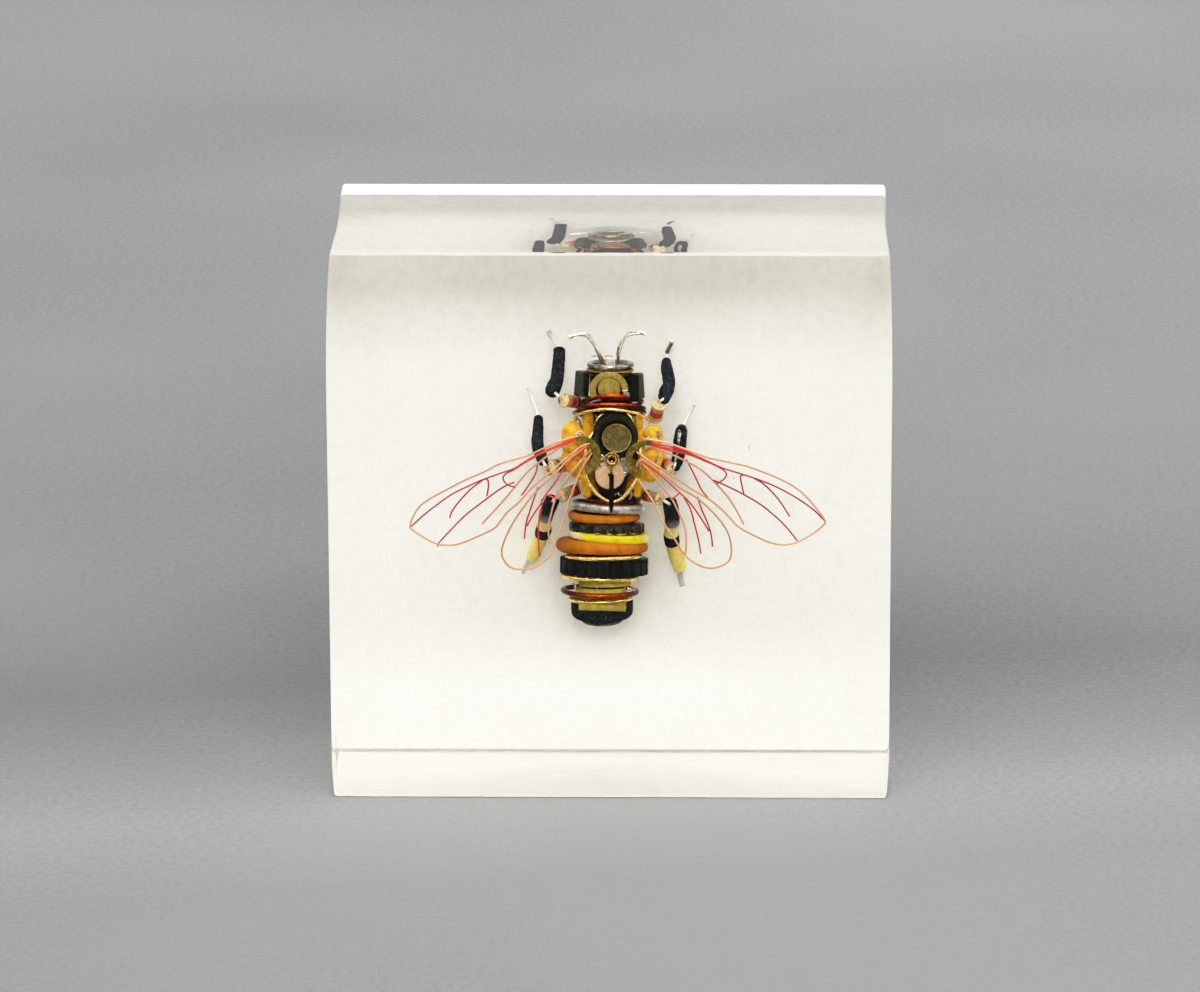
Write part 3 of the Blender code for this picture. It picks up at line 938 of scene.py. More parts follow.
    # eyes: dark moulded blocks with a rounded outer side
    for side, cx, cy, tilt, w, h in (("left", 583.2, 383.6, 0.075, 1.95, 3.30), ("right", 635.4, 386.0, -0.055, 1.95, 3.34)):
        sg = -1 if side == "left" else 1
        bm = bmesh.new()
        outline = []
        for k in range(25):
            a = math.pi * (k / 24)
            outline.append((sg * (math.sin(a) ** 0.66) * 0.60 * w, -math.cos(a) * 1.25))
        outline = [(sg * -0.42 * w, 1.25), (sg * -0.42 * w, -1.25)] + outline
        lo = [bm.verts.new(Vector((px, py, -h / 2)) * MM) for px, py in outline]
        hi = [bm.verts.new(Vector((px, py, h / 2)) * MM) for px, py in outline]
        k = len(outline)
        for i in range(k):
            bm.faces.new((lo[i], lo[(i + 1) % k], hi[(i + 1) % k], hi[i]))
        bm.faces.new(lo[::-1])
        bm.faces.new(hi)
        bmesh.ops.remove_doubles(bm, verts=bm.verts[:], dist=1e-7)
        bmesh.ops.recalc_face_normals(bm, faces=bm.faces[:])
        sharp = [e for e in bm.edges if e.is_manifold and e.calc_face_angle(0) > 0.6]
        bmesh.ops.bevel(bm, geom=sharp, offset=0.09 * MM, segments=3, profile=0.5, affect="EDGES")
        rot = Matrix.Rotation(tilt, 4, "Y")
        bmesh.ops.transform(bm, matrix=Matrix.Translation(at(cx, cy, 23.3)) @ rot, verts=bm.verts[:])
        finish_piece(mesh_object("eye_block_" + side, bm), M["eye_" + side], angle=35)
    # neck: turns of red-brown enamelled wire, tilted with their fronts up; every second turn gets a darker copy of the
    # enamel as painted shade
    for k, (xl, yl, xr, yr, yf, t, mat) in enumerate(((582.0, 402.0, 644.0, 401.2, 395.6, 4.6, "red_enamel"), (584.4, 403.8, 643.0, 402.6, 399.2, 3.0, "red_enamel_painted_shade"),
                                                      (576.6, 408.6, 646.4, 408.6, 404.6, 4.2, "red_enamel"), (572.2, 413.0, 646.6, 412.0, 408.4, 3.6, "red_enamel_painted_shade"))):
        hoop("neck_coil_%d" % (k + 1), "red_enamel_wire", M[mat], xl, yl, xr, yr, yf, t, axis=25.2, wob=0.035, seed=40 + k, sides=18)
    tube("neck_wire_grey", M["slot_metal"], px_path([(590.0, 403.2, 21.9), (594.4, 401.0, 21.3), (600.4, 400.0, 21.0)], 21.3), 1.0 * m, sides=10)
    # gold wire collar
    tube("collar_wire", M["gold_wire"],
         px_path([(575.6, 420.4, 24.8), (574.6, 417.4, 23.8), (580.0, 413.9, 22.0), (588.3, 411.4, 20.9), (598.3, 409.9, 20.3), (608.3, 409.4, 20.0), (618.3, 410.2, 20.0),
                  (628.3, 411.7, 20.3), (637.5, 413.6, 20.9), (643.6, 416.6, 22.0), (648.6, 420.0, 23.4), (649.6, 422.8, 24.6)], 22, 8), 1.62 * m, sides=16, angle=180)
    turned_piece("neck_core", M["core"], at(610.5, 418, 25.3), Vector((0, 0, 1)),
                 [(0, 0), (3.9, 0), (3.7, 1.2), (2.9, 2.2), (2.9, 2.9), (0, 2.9)], 48)


def make_thorax():
    m = mpp(20)
    tilt = Vector((0, -1, 0.06)).normalized()
    turned_piece("thorax_core", M["core"], at(612, 501, 25.3), Vector((0, 0, 1)),
                 [(0, 0), (3.2, 0), (3.6, 0.8), (3.7, 4), (3.7, 9), (3.5, 11.5), (0, 11.7)], 56)
    # black washer with a step, brass disc on it
    o = at(615.4, 436.8, 20.6)
    turned_piece("thorax_washer", M["black_metal"], o, tilt,
                 [(1.9, -0.35), (3.0, -0.35), (3.10, -0.25), (3.10, 0.05), (3.02, 0.12), (2.40, 0.12), (2.34, 0.06), (2.30, -0.05), (1.9, -0.05), (1.9, -0.35)], 96)
    turned_piece("thorax_washer_inner", M["blade_black"], o, tilt,
                 [(0, -0.3), (2.32, -0.3), (2.32, -0.02), (2.16, 0.0), (2.12, 0.08), (1.98, 0.08), (1.92, 0.0), (0, 0.0)], 96)
    o = at(616.7, 438.1, 20.2)
    turned_piece("thorax_disc", M["brass_aged"], o, tilt,
                 [(0, -0.3), (1.93, -0.3), (1.95, 0.06), (1.88, 0.07), (1.84, 0.06), (1.2, 0.08), (0, 0.10)], 96)
    turned_piece("thorax_disc_rim", M["brass_rim"], o, tilt,
                 [(1.86, 0.0), (1.99, 0.0), (1.99, 0.10), (1.95, 0.14), (1.89, 0.13), (1.86, 0.08), (1.86, 0.0)], 96)
    tube("thorax_gold_clip_left", M["gold_wire"], px_path([(602.6, 414.2, 20.9), (600.4, 415.4, 20.7), (598.2, 418.2, 20.6), (596.0, 422.0, 20.9)], 20.7), 1.25 * m, sides=12, angle=180)
    tube("thorax_gold_clip_right", M["gold_wire"], px_path([(627.4, 414.2, 20.9), (629.6, 415.8, 20.7), (631.6, 418.4, 20.7), (633.2, 422.0, 21.0)], 20.7), 1.2 * m, sides=12, angle=180)
    # grey plate, black and copper wheels, collet, hand
    turned_piece("thorax_plate", M["solder_plate"], at(611.6, 463.5, 20.95), tilt,
                 [(0, -0.15), (2.50, -0.15), (2.55, -0.1), (2.55, 0.08), (2.47, 0.12), (1.5, 0.1), (0, 0.1)], 64)

    def teeth(r, count, deep, share=0.5):
        def f(a):
            t = (a * count / (2 * math.pi)) % 1.0
            tri = abs(2 * t - 1)
            return r - deep * min(1.0, max(0.0, (tri - share * 0.5) / (1 - share)))
        return f
    wheel("thorax_wheel_black", M["blade_black"], at(610.4, 478.8, 20.72), tilt, teeth(2.24, 60, 0.17, 0.3), 0.10, 600)
    wheel("thorax_wheel_copper", M["copper_wheel"], at(609.7, 474.9, 20.45), tilt, teeth(2.03, 58, 0.14), 0.10, 464,
          hole=0.25)
    turned_piece("collet", M["brass_bright"], at(611.7, 459.8, 20.0), tilt,
                 [(0.44, -0.45), (1.00, -0.45), (1.05, -0.32), (1.06, 0.10), (1.01, 0.16), (0.90, 0.16), (0.85, 0.08), (0.82, -0.16), (0.72, -0.16),
                  (0.71, 0.20), (0.67, 0.26), (0.53, 0.26), (0.46, 0.20), (0.44, 0.05), (0.44, -0.45)], 72)
    turned_piece("collet_groove", M["core_brown"], at(611.7, 459.8, 20.12), tilt,
                 [(0.70, -0.05), (0.86, -0.05), (0.86, 0.02), (0.70, 0.02), (0.70, -0.05)], 48)
    turned_piece("collet_hole", M["blade_black"], at(611.7, 459.8, 20.35), tilt,
                 [(0, -0.05), (0.5, -0.05), (0.5, 0.05), (0, 0.05)], 32)
    blob("collet_pin", M["copper_wheel"], at(611.9, 461.2, 20.3), (0.17, 0.1, 0.13), seed=5, lumps=0.1, subdiv=3)
    plate("hand_neck", M["brass_olive"], [(611.6, 466.0), (611.6, 470), (611.7, 475.5)], [3.4, 2.6, 2.5], 19.95, 0.22)
    plate("hand_blade", M["blade_black"], [(611.6, 474.6), (611.5, 484), (611.4, 494), (611.3, 501), (611.3, 507), (611.2, 513.6)],
          [4.4, 4.7, 4.7, 4.6, 4.0, 0.6], 19.45, 0.26, chamfer=0.06)
    # big gold hoop round the wheels
    tube("thorax_hoop", M["gold_wire"],
         smooth_path([at(*q) for q in ((584.6, 460, 20.25), (584.7, 470.5, 20.1), (587.3, 480, 19.95), (592.9, 489, 19.85), (602.0, 497.6, 19.8), (612.2, 501.6, 19.8), (621.2, 498.6, 19.8),
                                       (627.8, 492.0, 19.85), (633.6, 484.4, 19.95), (637.4, 477.7, 20.1), (639.7, 470.2, 20.2), (641.0, 461.4, 20.3), (640.4, 451.8, 20.5), (637.6, 442, 20.9),
                                       (629, 430, 21.4), (612, 424, 21.7), (596, 430, 21.4), (587.6, 442, 20.9), (585.4, 451, 20.4))], 7, closed=True),
         1.72 * m, sides=16, closed=True, ref=Vector((0, 1, 0)), angle=180)
    # crescents: brass bridges, one each side
    plate("crescent_left", M["brass_olive"],
          [(575.4, 439.6), (579.0, 438.7), (582.5, 438.8), (588.2, 440.7), (592.5, 444.6), (595.6, 449.6), (596.8, 454.8), (595.8, 460.0), (593.0, 464.8), (589.7, 469.2), (587.4, 473.0)],
          [3.4, 5.2, 5.8, 6.5, 7.4, 8.0, 8.1, 8.2, 8.3, 8.2, 5.4], 19.55, 0.32)
    plate("crescent_right", M["brass_olive"],
          [(651.9, 443.3), (645.4, 442.9), (637.9, 445.3), (632.3, 449.8), (629.6, 455.0), (628.9, 460.2), (629.9, 465.6), (632.8, 470.2), (637.0, 472.9), (641.2, 473.6)],
          [4.2, 5.6, 6.2, 6.7, 7.1, 7.3, 7.9, 8.6, 9.4, 7.6], 19.55, 0.32)
    for k, (x, y, s) in enumerate(((602.4, 457.4, 1.2), (622.3, 457.6, 1.3), (626.4, 467.8, 1.3), (600.2, 466.4, 0.9), (624.6, 474.4, 0.8))):
        blob("solder_drop_%d" % (k + 1), M["tinned"], at(x, y, 20.5), (0.24 * s, 0.16, 0.42 * s), seed=k, lumps=0.16, subdiv=3)
    # yellow insulation: beads at the sides, strips between
    def bead(name, pts, r, d, seed):
        rnd = random.Random(seed)
        ph = [rnd.uniform(0, 6) for _ in range(2)]
        tube(name, M["ochre_pale"], px_path([(x, y, d) for x, y in pts], d, 10),
             lambda t: (r[0] + (r[1] - r[0]) * t) * (1 + 0.02 * math.sin(5 * t + ph[0])) * mpp(d), sides=40, angle=180, fuzz=0.012, fuzz_scale=1500)
    bead("bead_left_upper", [(572.9, 429.5), (572.6, 437), (572.8, 446)], (10.6, 11.3), 23.0, 1)
    bead("bead_left_lower", [(571.6, 455.5), (574.6, 463.5), (578.6, 470.6)], (10.6, 9.2), 23.1, 2)
    bead("bead_right_upper", [(652.2, 433.0), (653.0, 435.4), (653.2, 438.2)], (10.0, 10.4), 23.0, 3)
    bead("bead_right_lower", [(652.4, 455.6), (651.2, 464), (649.8, 475.0)], (10.6, 9.2), 23.1, 4)
    for k, (x, y, d, a) in enumerate(((658.0, 435.0, 21.85, 0.0), (655.8, 459.3, 21.85, 0.45), (576.0, 461.2, 21.95, 0.25))):
        bm = bmesh.new()
        bmesh.ops.create_icosphere(bm, subdivisions=4, radius=1.0)
        for v in bm.verts:
            q = v.co * 3.1 + Vector((k, 0, 0))
            v.co *= 1 + 0.16 * grain.noise(q)
            v.co = Vector((v.co.x * 0.25, v.co.y * 0.16, v.co.z * 0.64)) * MM
        bmesh.ops.transform(bm, matrix=Matrix.Translation(at(x, y, d)) @ Matrix.Rotation(a, 4, "Y"), verts=bm.verts[:])
        finish_piece(mesh_object("bead_slot_%d" % (k + 1), bm), M["slot_metal"], angle=180)
    for name, mat, d, pts, r in (
            ("strip_left", "ochre", 22.5, [(588.2, 416.0), (588.4, 421), (588.2, 430), (586.8, 445), (584.6, 458), (583.6, 470)], 5.8),
            ("strip_right", "ochre", 22.5, [(638.9, 418.0), (638.8, 425), (639.4, 436), (641.4, 450), (642.0, 464), (641.0, 478)], 4.0),
            ("strip_left_low", "ochre", 22.4, [(583.6, 476.0), (584.6, 484), (587.2, 493.6)], 5.6),
            ("strip_right_low", "ochre", 22.4, [(638.4, 478.0), (637.4, 486), (636.8, 494.4)], 4.2),
            ("strip_left_inner", "ochre_dark", 22.2, [(590.8, 462), (592.0, 472), (592.6, 482), (595.0, 492)], 4.6),
            ("strip_right_inner", "ochre_dark", 22.2, [(632.6, 462), (631.4, 472), (630.2, 482), (627.0, 492)], 4.6)):
        tube(name, M[mat], px_path([(x, y, d) for x, y in pts], d), r * m, sides=24, angle=180, fuzz=0.015, fuzz_scale=1500)
    # small bits of wire showing beside the strips
    for k, (pts, r, mat) in enumerate((([(576.6, 417.5, 22.6), (580.0, 421.5, 22.3), (581.0, 428, 22.3)], 0.9, "core_brown"), ([(596.0, 415.6, 22.0), (596.6, 420.0, 21.9), (594.8, 424.6, 22.0)], 1.2, "slot_metal"),
                                       ([(633.2, 415.6, 22.0), (634.6, 420, 21.9), (634.0, 427, 22.0)], 1.2, "slot_metal"), ([(580.4, 481, 21.9), (580.8, 488, 21.8), (583.2, 496, 21.9)], 0.8, "tinned"),
                                       ([(615.0, 495.0, 21.3), (617.4, 492.6, 21.2), (619.6, 495.4, 21.3)], 0.9, "tinned"), ([(594, 494.6, 21.9), (599, 497.6, 21.7), (604, 499.2, 21.6)], 0.9, "core_brown"),
                                       ([(630.0, 491.0, 21.9), (631.4, 495.0, 21.8), (629.6, 499.0, 21.9)], 1.0, "slot_metal"))):
        tube("loose_wire_%d" % (k + 1), M[mat], px_path(pts, 21.6), r * m, sides=8, angle=180)


def make_abdomen():
    m = mpp(AXIS)
    H = hoop
    H("abdomen_red_ring", "red_enamel_wire", M["red_enamel_mix"], 580, 501.4, 640, 502.8, 503.4, 3.4, wob=0.05, seed=11)
    # the lower ring gets the darker copy of the enamel: painted shade
    H("abdomen_red_ring_low", "red_enamel_wire", M["red_enamel_painted_shade"], 575, 500.2, 641, 501.2, 501.2, 3.4, wob=0.06, seed=12)
    H("abdomen_solder_ring", "tinned_wire", M["solder_grey"], 570.8, 504.4, 644.6, 508.8, 509.2, 9.4, wob=0.03, seed=13, sides=26,
      thick=lambda a: 1.0 + 0.08 * max(0.0, math.cos(a)), square=0.85, fuzz=0.02)
    H("abdomen_orange_ring_1", "orange_ring", M["orange"], 568.4, 515.4, 641.2, 516.8, 519.8, 9.3, wob=0.03, seed=14, sides=26,
      thick=lambda a: 1.0 - 0.22 * max(0.0, math.cos(a)) ** 2, fuzz=0.01)
    # dark glassy ring with rounded domes
    c, u, f, rad = ring_frame(569.2, 526.0, 645.0, 527.9, 529.6)
    up = ring_up(u, f)
    wheel("abdomen_glass_ring", M["glassy_dark"], c, up,
          lambda a: rad / MM - 0.10 * (0.5 - 0.5 * math.cos(a * 13)), 4.6 * m / MM, 390, hole=2.0, chamfer=0.12, angle=60)
    u1, f1 = u.normalized(), f
    spots = [583.6, 597.6, 610.4, 618.4, 634.0]
    angles = [math.acos(max(-1.0, min(1.0, (at(x, 530, 21).x - c.x) / (rad - 0.25 * MM)))) for x in spots] + [math.radians(195 + 25 * j) for j in range(6)]
    # the domes are made in the lighter glass: painted highlight
    for k, a in enumerate(angles):
        d = u1 * math.cos(a) + f1 * math.sin(a)
        r = 0.50 if k in (0, 1, 3, 4) else 0.34
        blob("abdomen_dome_%02d" % (k + 1), M["glassy_lump"], c + d * (rad - 0.26 * MM) + up * 0.02 * MM, (r, r, r * 0.94), seed=40 + k,
             lumps=0.08, power=2.0, subdiv=3)
    for k, (xa, xb, y) in enumerate(((593.6, 599.2, 533.9), (606.6, 611.4, 534.3), (616.4, 625.4, 534.5), (631.0, 635.0, 533.9))):
        path = []
        for j in range(7):
            x = xa + (xb - xa) * j / 6
            dx = at(x, y, 20.4).x - c.x
            path.append(at(x, y + 0.2 * math.sin(j), AXIS - math.sqrt(max(1e-9, (rad + 0.16 * MM) ** 2 - dx * dx)) / MM))
        tube("abdomen_glint_wire_%d" % (k + 1), M["brass_bright"], path, lambda t: 0.75 * m * (1 - 0.5 * abs(2 * t - 1)), sides=10, angle=180)
    H("abdomen_glint_ring", "brass", M["brass_olive"], 574, 531.0, 642, 532.4, 533.8, 2.4, wob=0.06, seed=15)
    H("abdomen_yellow_ring", "yellow_ring", M["yellow_green"], 569.4, 532.8, 649.4, 537.4, 539.6, 8.9, wob=0.02, seed=16, sides=28, square=0.72)
    H("abdomen_orange_ring_2", "orange_ring", M["orange"], 557.4, 544.6, 649.2, 547.2, 548.9, 12.4, wob=0.03, seed=17, sides=28,
      thick=lambda a: 1.0 + 0.26 * max(0.0, -math.cos(a)) ** 2 - 0.20 * max(0.0, math.cos(a)) ** 2, fuzz=0.01)
    H("abdomen_gold_ring_1", "brass", M["gold_wire"], 564.6, 556.6, 643.0, 556.2, 558.9, 4.8, axis=24.55, wob=0.02, seed=18)
    # black toothed wheel, like a small pulley
    c, u, f, rad = ring_frame(559.9, 564.4, 648.2, 566.2, 570.0)
    up = ring_up(u, f)

    def cog(a):
        t = (a * 22 / (2 * math.pi)) % 1.0
        e = abs(2 * t - 1)
        return rad / MM - 0.56 * min(1.0, max(0.0, (e - 0.66) / 0.10))
    wheel("abdomen_black_wheel", M["black_gear"], c, up, cog, 8.2 * m / MM, 704, hole=2.0, chamfer=0.09)
    H("abdomen_gold_ring_2", "brass", M["gold_wire"], 560.3, 575.4, 639.6, 577.2, 580.1, 4.8, axis=24.9, wob=0.02, seed=19)
    c, u, f, rad = ring_frame(578.4, 584.0, 631.0, 583.6, 586.2)
    turned_piece("abdomen_olive_disc", M["olive_plastic"], c, ring_up(u, f),
                 [(0, -0.2), (rad / MM - 0.1, -0.2), (rad / MM, 0.0), (rad / MM - 0.02, 0.35), (rad / MM - 0.14, 0.7), (0, 0.7)], 96)
    c, u, f, rad = ring_frame(578.0, 592.0, 626.2, 592.0, 594.6)
    turned_piece("abdomen_olive_cylinder", M["olive_plastic"], c, ring_up(u, f),
                 [(0, -2.4), (rad / MM, -2.4), (rad / MM, 0.60), (rad / MM - 0.08, 0.68), (0, 0.68)], 96)
    H("abdomen_red_ring_2", "red_enamel_wire", M["red_enamel_mix"], 561.0, 590.2, 639.2, 591.6, 596.0, 5.4, wob=0.03, seed=21, sides=20)
    H("abdomen_gold_ring_4", "brass", M["brass_olive"], 571.0, 596.6, 631.0, 595.6, 600.0, 2.6, wob=0.03, seed=23)
    H("abdomen_gold_ring_3", "brass", M["gold_wire"], 567.6, 598.4, 633.2, 597.4, 602.6, 4.1, wob=0.05, seed=22)
    rounded_box("abdomen_olive_box", M["olive_box"], at(602.4, 605.9, 22.15), (6.42, 2.5, 0.80), (0.05, 0.03, 0), 0.06, 2)
    # black cap with a rounded end, grey disc under it
    c, u, f, rad = ring_frame(571.2, 614.0, 633.2, 613.2, 622.0)
    up = ring_up(u, f)
    R = rad / MM
    turned_piece("abdomen_cap", M["black_rubber"], c, up,
                 [(0, -0.62), (R - 1.6, -0.60), (R - 0.85, -0.50), (R - 0.42, -0.30), (R - 0.14, 0.0), (R - 0.02, 0.38), (R, 0.8), (R, 1.3), (R, 1.85), (R - 0.10, 1.96), (R - 0.5, 1.98), (R - 0.6, 1.5), (0, 1.4)], 140,
                 wobble=lambda a, h: 1 + 0.004 * math.sin(5 * a) + 0.003 * math.sin(11 * a + h * 3), angle=60)
    turned_piece("abdomen_end_disc", M["end_grey"], c, up,
                 [(0, -1.24), (2.1, -1.24), (2.62, -1.12), (2.76, -1.0), (2.7, -0.86), (2.3, -0.78), (2.2, -0.5), (0, -0.5)], 84)
    # core of the stack
    path = [at(608.4, 503, AXIS), at(607.6, 530, AXIS), at(604.5, 560, AXIS), at(603.2, 580, AXIS), at(602.5, 606, AXIS)]
    tube("abdomen_core", M["core"], smooth_path(path, 5), lambda t: (3.9 - 1.2 * t) * MM, sides=40, ends="flat")
    for k, (pts, mat, r) in enumerate((([(573.0, 583.4), (574.6, 585.4), (577.2, 586.4)], "tinned", 0.8), ([(574.8, 587.4), (576.6, 589.6), (575.8, 592.0)], "gold_wire", 1.0),
                                       ([(629.6, 585.2), (632.2, 586.4), (634.8, 587.8)], "copper_wire", 0.9), ([(626.8, 590.8), (629.4, 588.4), (632.4, 589.4), (634.6, 590.8)], "tinned", 0.7),
                                       ([(627.4, 586.8), (629.0, 589.2), (631.8, 590.8)], "tinned", 0.6))):
        tube("stray_wire_%d" % (k + 1), M[mat], px_path([(x, y, AXIS - 1.6) for x, y in pts], AXIS - 1.6), r * m, sides=8, angle=180)
    tube("stray_fibre", M["fibre"], px_path([(596.0, 583.6, 21.5), (597.0, 589.6, 21.6), (600.6, 593.6, 21.0), (605.6, 596.8, 20.3), (609.4, 595.6, 20.3)], 21), 0.28 * m, sides=6, angle=180)


def resistor(name, px, py, depth, direction, r_px, bands, length=4.6, waist=0.88, cap=0.72):
    """A small axial resistor: tan end cap towards the viewer, colour bands behind it."""
    o = at(px, py, depth)
    r = r_px * mpp(depth) / MM
    n = -Vector(direction).normalized()         # the profile's height runs out of the cap
    prof = [(0.0, 0.02), (r * 0.55, 0.02), (r * 0.86, -0.02), (r * 0.97, -0.09), (r, -0.18), (r, -cap + 0.12), (r * 0.97, -cap + 0.02), (r * waist, -cap)]
    mats = [0, 0, 0, 7, 1, 7, 4]
    z = -cap
    for width, idx in bands:
        prof.append((r * waist, z - width + 0.02))
        mats.append(idx)
        prof.append((r * waist, z - width))
        mats.append(idx)
        z -= width
    prof += [(r * waist, -length + cap), (r, -length + cap - 0.12), (r, -length + 0.2), (r * 0.9, -length), (0.0, -length)]
    mats += [2, 2, 1, 1, 0]
    bm = bmesh.new()
    turned_bm(bm, o, n, prof, 48, mats=mats)
    bmesh.ops.remove_doubles(bm, verts=bm.verts[:], dist=1e-8)
    bmesh.ops.recalc_face_normals(bm, faces=bm.faces[:])
    ob = mesh_object(name, bm)
    me = ob.data
    for key in ("tan", "tan_side", "tan_side", "band_red", "band_brown", "band_green", "band_black", "tan_edge"):
        me.materials.append(M[key])
    me.shade_smooth()
    me.set_sharp_from_angle(angle=math.radians(40))
    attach(ob, "root")
    return o, n


def part_of(path, a, b):
    n = len(path) - 1
    return path[int(round(a * n)):int(round(b * n)) + 1]


def widths(values):
    """A radius that follows the given widths (px) along a path."""
    def f(t):
        x = t * (len(values) - 1)
        j = min(int(x), len(values) - 2)
        s = x - j
        s = s * s * (3 - 2 * s)
        return (values[j] + (values[j + 1] - values[j]) * s) / 2 * mpp(26)
    return f


def cloth_sleeve(name, points, wide, mat="sleeve", ends="round", seed=0, hollow=0.5, fuzz=0.075):
    path = px_path(points, 27, 9)
    return tube(name, M[mat] if isinstance(mat, str) else mat, path, widths(wide), sides=44, ends=ends, hollow=hollow, angle=180, fuzz=fuzz, fuzz_scale=2100 + 37 * seed)


def foot(name, pts, a, b, thin=0.8):
    m = mpp(31)
    tube(name, M["tip_grey"], px_path(pts, 31, 5), lambda t: (thin * m, (a + (b - a) * t) * m), sides=14, ends="flat", ref=Vector((0, 1, 0)), angle=60)


def make_legs():
    m = mpp(26)
    RED, BROWN, GREEN, BLACK = 3, 4, 5, 6
    wire = lambda name, pts, r0, r1, mat="lead_bright": tube(name, M[mat], px_path(pts, 25), lambda t: (r0 + (r1 - r0) * t) * m, sides=14, angle=180)
    # front left
    resistor("leg_resistor_front_left", 563.0, 399.9, 23.5, (0.60, 0.76, -0.25), 7.3, [(0.16, BROWN), (0.34, 2), (1.05, RED), (0.3, 2), (0.5, BROWN)], cap=0.5)
    wire("leg_lead_front_left", [(562.6, 399.4, 23.35), (560.2, 397.6, 23.0), (557.6, 395.2, 23.0), (554.6, 392.2, 23.6)], 1.3, 1.5)
    cloth_sleeve("leg_sleeve_front_left", [(552.5, 391.6, 24.2), (553.6, 387.4, 24.7), (556.4, 381.4, 25.6), (557.9, 372, 27.0), (558.7, 362, 28.6), (559.2, 356, 29.5), (559.3, 350.2, 30.3)],
                 (14.4, 14.8, 13.4, 12.8, 12.4, 12.0, 12.0), seed=1, ends=("round", "hollow"), hollow=0.35)
    wire("leg_tip_front_left", [(558.9, 352, 30.2), (557.0, 347.8, 30.7), (554.6, 343.4, 30.9), (552.4, 338.6, 31.0)], 1.05, 0.85)
    blob("leg_tip_front_left_bead", M["lead_bright"], at(552.5, 338.2, 31.0), (0.17, 0.13, 0.20), seed=8, lumps=0.05, subdiv=3)
    foot("leg_foot_front_left", [(551.6, 337.4, 31.1), (550.2, 334.4, 31.3), (548.5, 330.6, 31.4)], 1.7, 2.8)
    # front right
    resistor("leg_resistor_front_right", 659.4, 404.0, 23.0, (-0.18, 0.66, -0.70), 7.6, [(0.16, BROWN), (0.42, 2), (0.9, RED), (0.25, BROWN)], length=3.4, cap=0.5)
    wire("leg_lead_front_right", [(658.8, 402.2, 22.8), (661.0, 400.4, 22.5), (663.4, 398.6, 22.8), (664.8, 395.4, 23.6)], 1.3, 1.3)
    cloth_sleeve("leg_sleeve_front_right", [(664.3, 400.2, 23.2), (664.6, 396.4, 23.6), (666.4, 391.2, 24.3), (668.9, 384.6, 25.4), (668.4, 377, 26.7), (666.9, 369.6, 28.0), (666.2, 361.8, 29.8)],
                 (10.0, 13.0, 14.2, 12.4, 12.6, 12.0, 9.6), seed=2)
    wire("leg_tip_front_right", [(666.4, 361, 29.9), (666.9, 356.8, 30.5), (667.3, 352.6, 30.8), (671.0, 344.0, 31.0)], 1.25, 0.9)
    tube("leg_tip_front_right_wrap", M["wrap"], px_path([(667.0, 352.4, 30.8), (669.2, 347.6, 30.9), (671.2, 344.2, 31.0)], 31, 8), lambda t: (1.9 + 0.25 * math.sin(20 * t)) * m, sides=14, angle=180)
    blob("leg_tip_front_right_ball", M["tip_white"], at(671.7, 341.8, 31.1), (0.34, 0.30, 0.34), seed=9, lumps=0.04, subdiv=3)
    # middle left
    resistor("leg_resistor_middle_left", 548.6, 468.0, 23.9, (0.40, 0.90, -0.06), 8.2, [(0.25, BROWN), (0.5, 2), (0.9, BROWN)], cap=0.6)
    wire("leg_lead_middle_left", [(548.4, 468.2, 23.75), (546.2, 466.6, 23.3), (544.6, 464.4, 23.4), (543.4, 460.6, 24.0)], 1.7, 1.5)
    cloth_sleeve("leg_sleeve_middle_left", [(541.4, 463.8, 24.0), (540.4, 458.4, 24.5), (538.4, 449.6, 25.4), (537.4, 440.6, 26.4), (538.0, 431, 27.3), (538.4, 418.6, 28.3)],
                 (5.2, 8.6, 12.0, 12.2, 11.0, 9.6), seed=3, fuzz=0.04)
    cloth_sleeve("leg_sleeve_middle_left_tail", [(546.4, 463.4, 23.7), (544.8, 458.4, 24.3), (542.6, 452.0, 25.2)], (3.2, 6.0, 7.0), seed=5, fuzz=0.03)
    wire("leg_tip_middle_left", [(538.4, 419, 28.5), (536.8, 410.4, 29.5), (533.6, 402, 30.4), (531.0, 395.4, 31.0)], 0.95, 0.75)
    foot("leg_foot_middle_left", [(531.2, 395.8, 31.0), (529.8, 391.8, 31.3), (527.8, 387.4, 31.5)], 0.9, 1.5, 0.6)
    # middle right
    resistor("leg_resistor_middle_right", 672.4, 469.6, 23.6, (-0.44, 0.87, 0.26), 7.0, [(0.15, BROWN), (0.3, 2), (0.85, RED), (0.3, 2)], length=4.2, cap=0.6)
    wire("leg_lead_middle_right", [(673.0, 469.6, 23.3), (674.0, 467.6, 22.95), (674.8, 465.2, 23.0), (675.9, 461.6, 24.0)], 1.25, 1.2)
    cloth_sleeve("leg_sleeve_middle_right", [(675.6, 467.4, 23.8), (677.2, 461.0, 24.6), (679.0, 451.8, 25.9), (680.0, 441, 27.3), (681.2, 432, 28.6), (681.7, 428.6, 29.2)],
                 (9.0, 12.2, 13.4, 13.6, 12.6, 10.2), mat="sleeve_gloss", seed=4, fuzz=0.015)
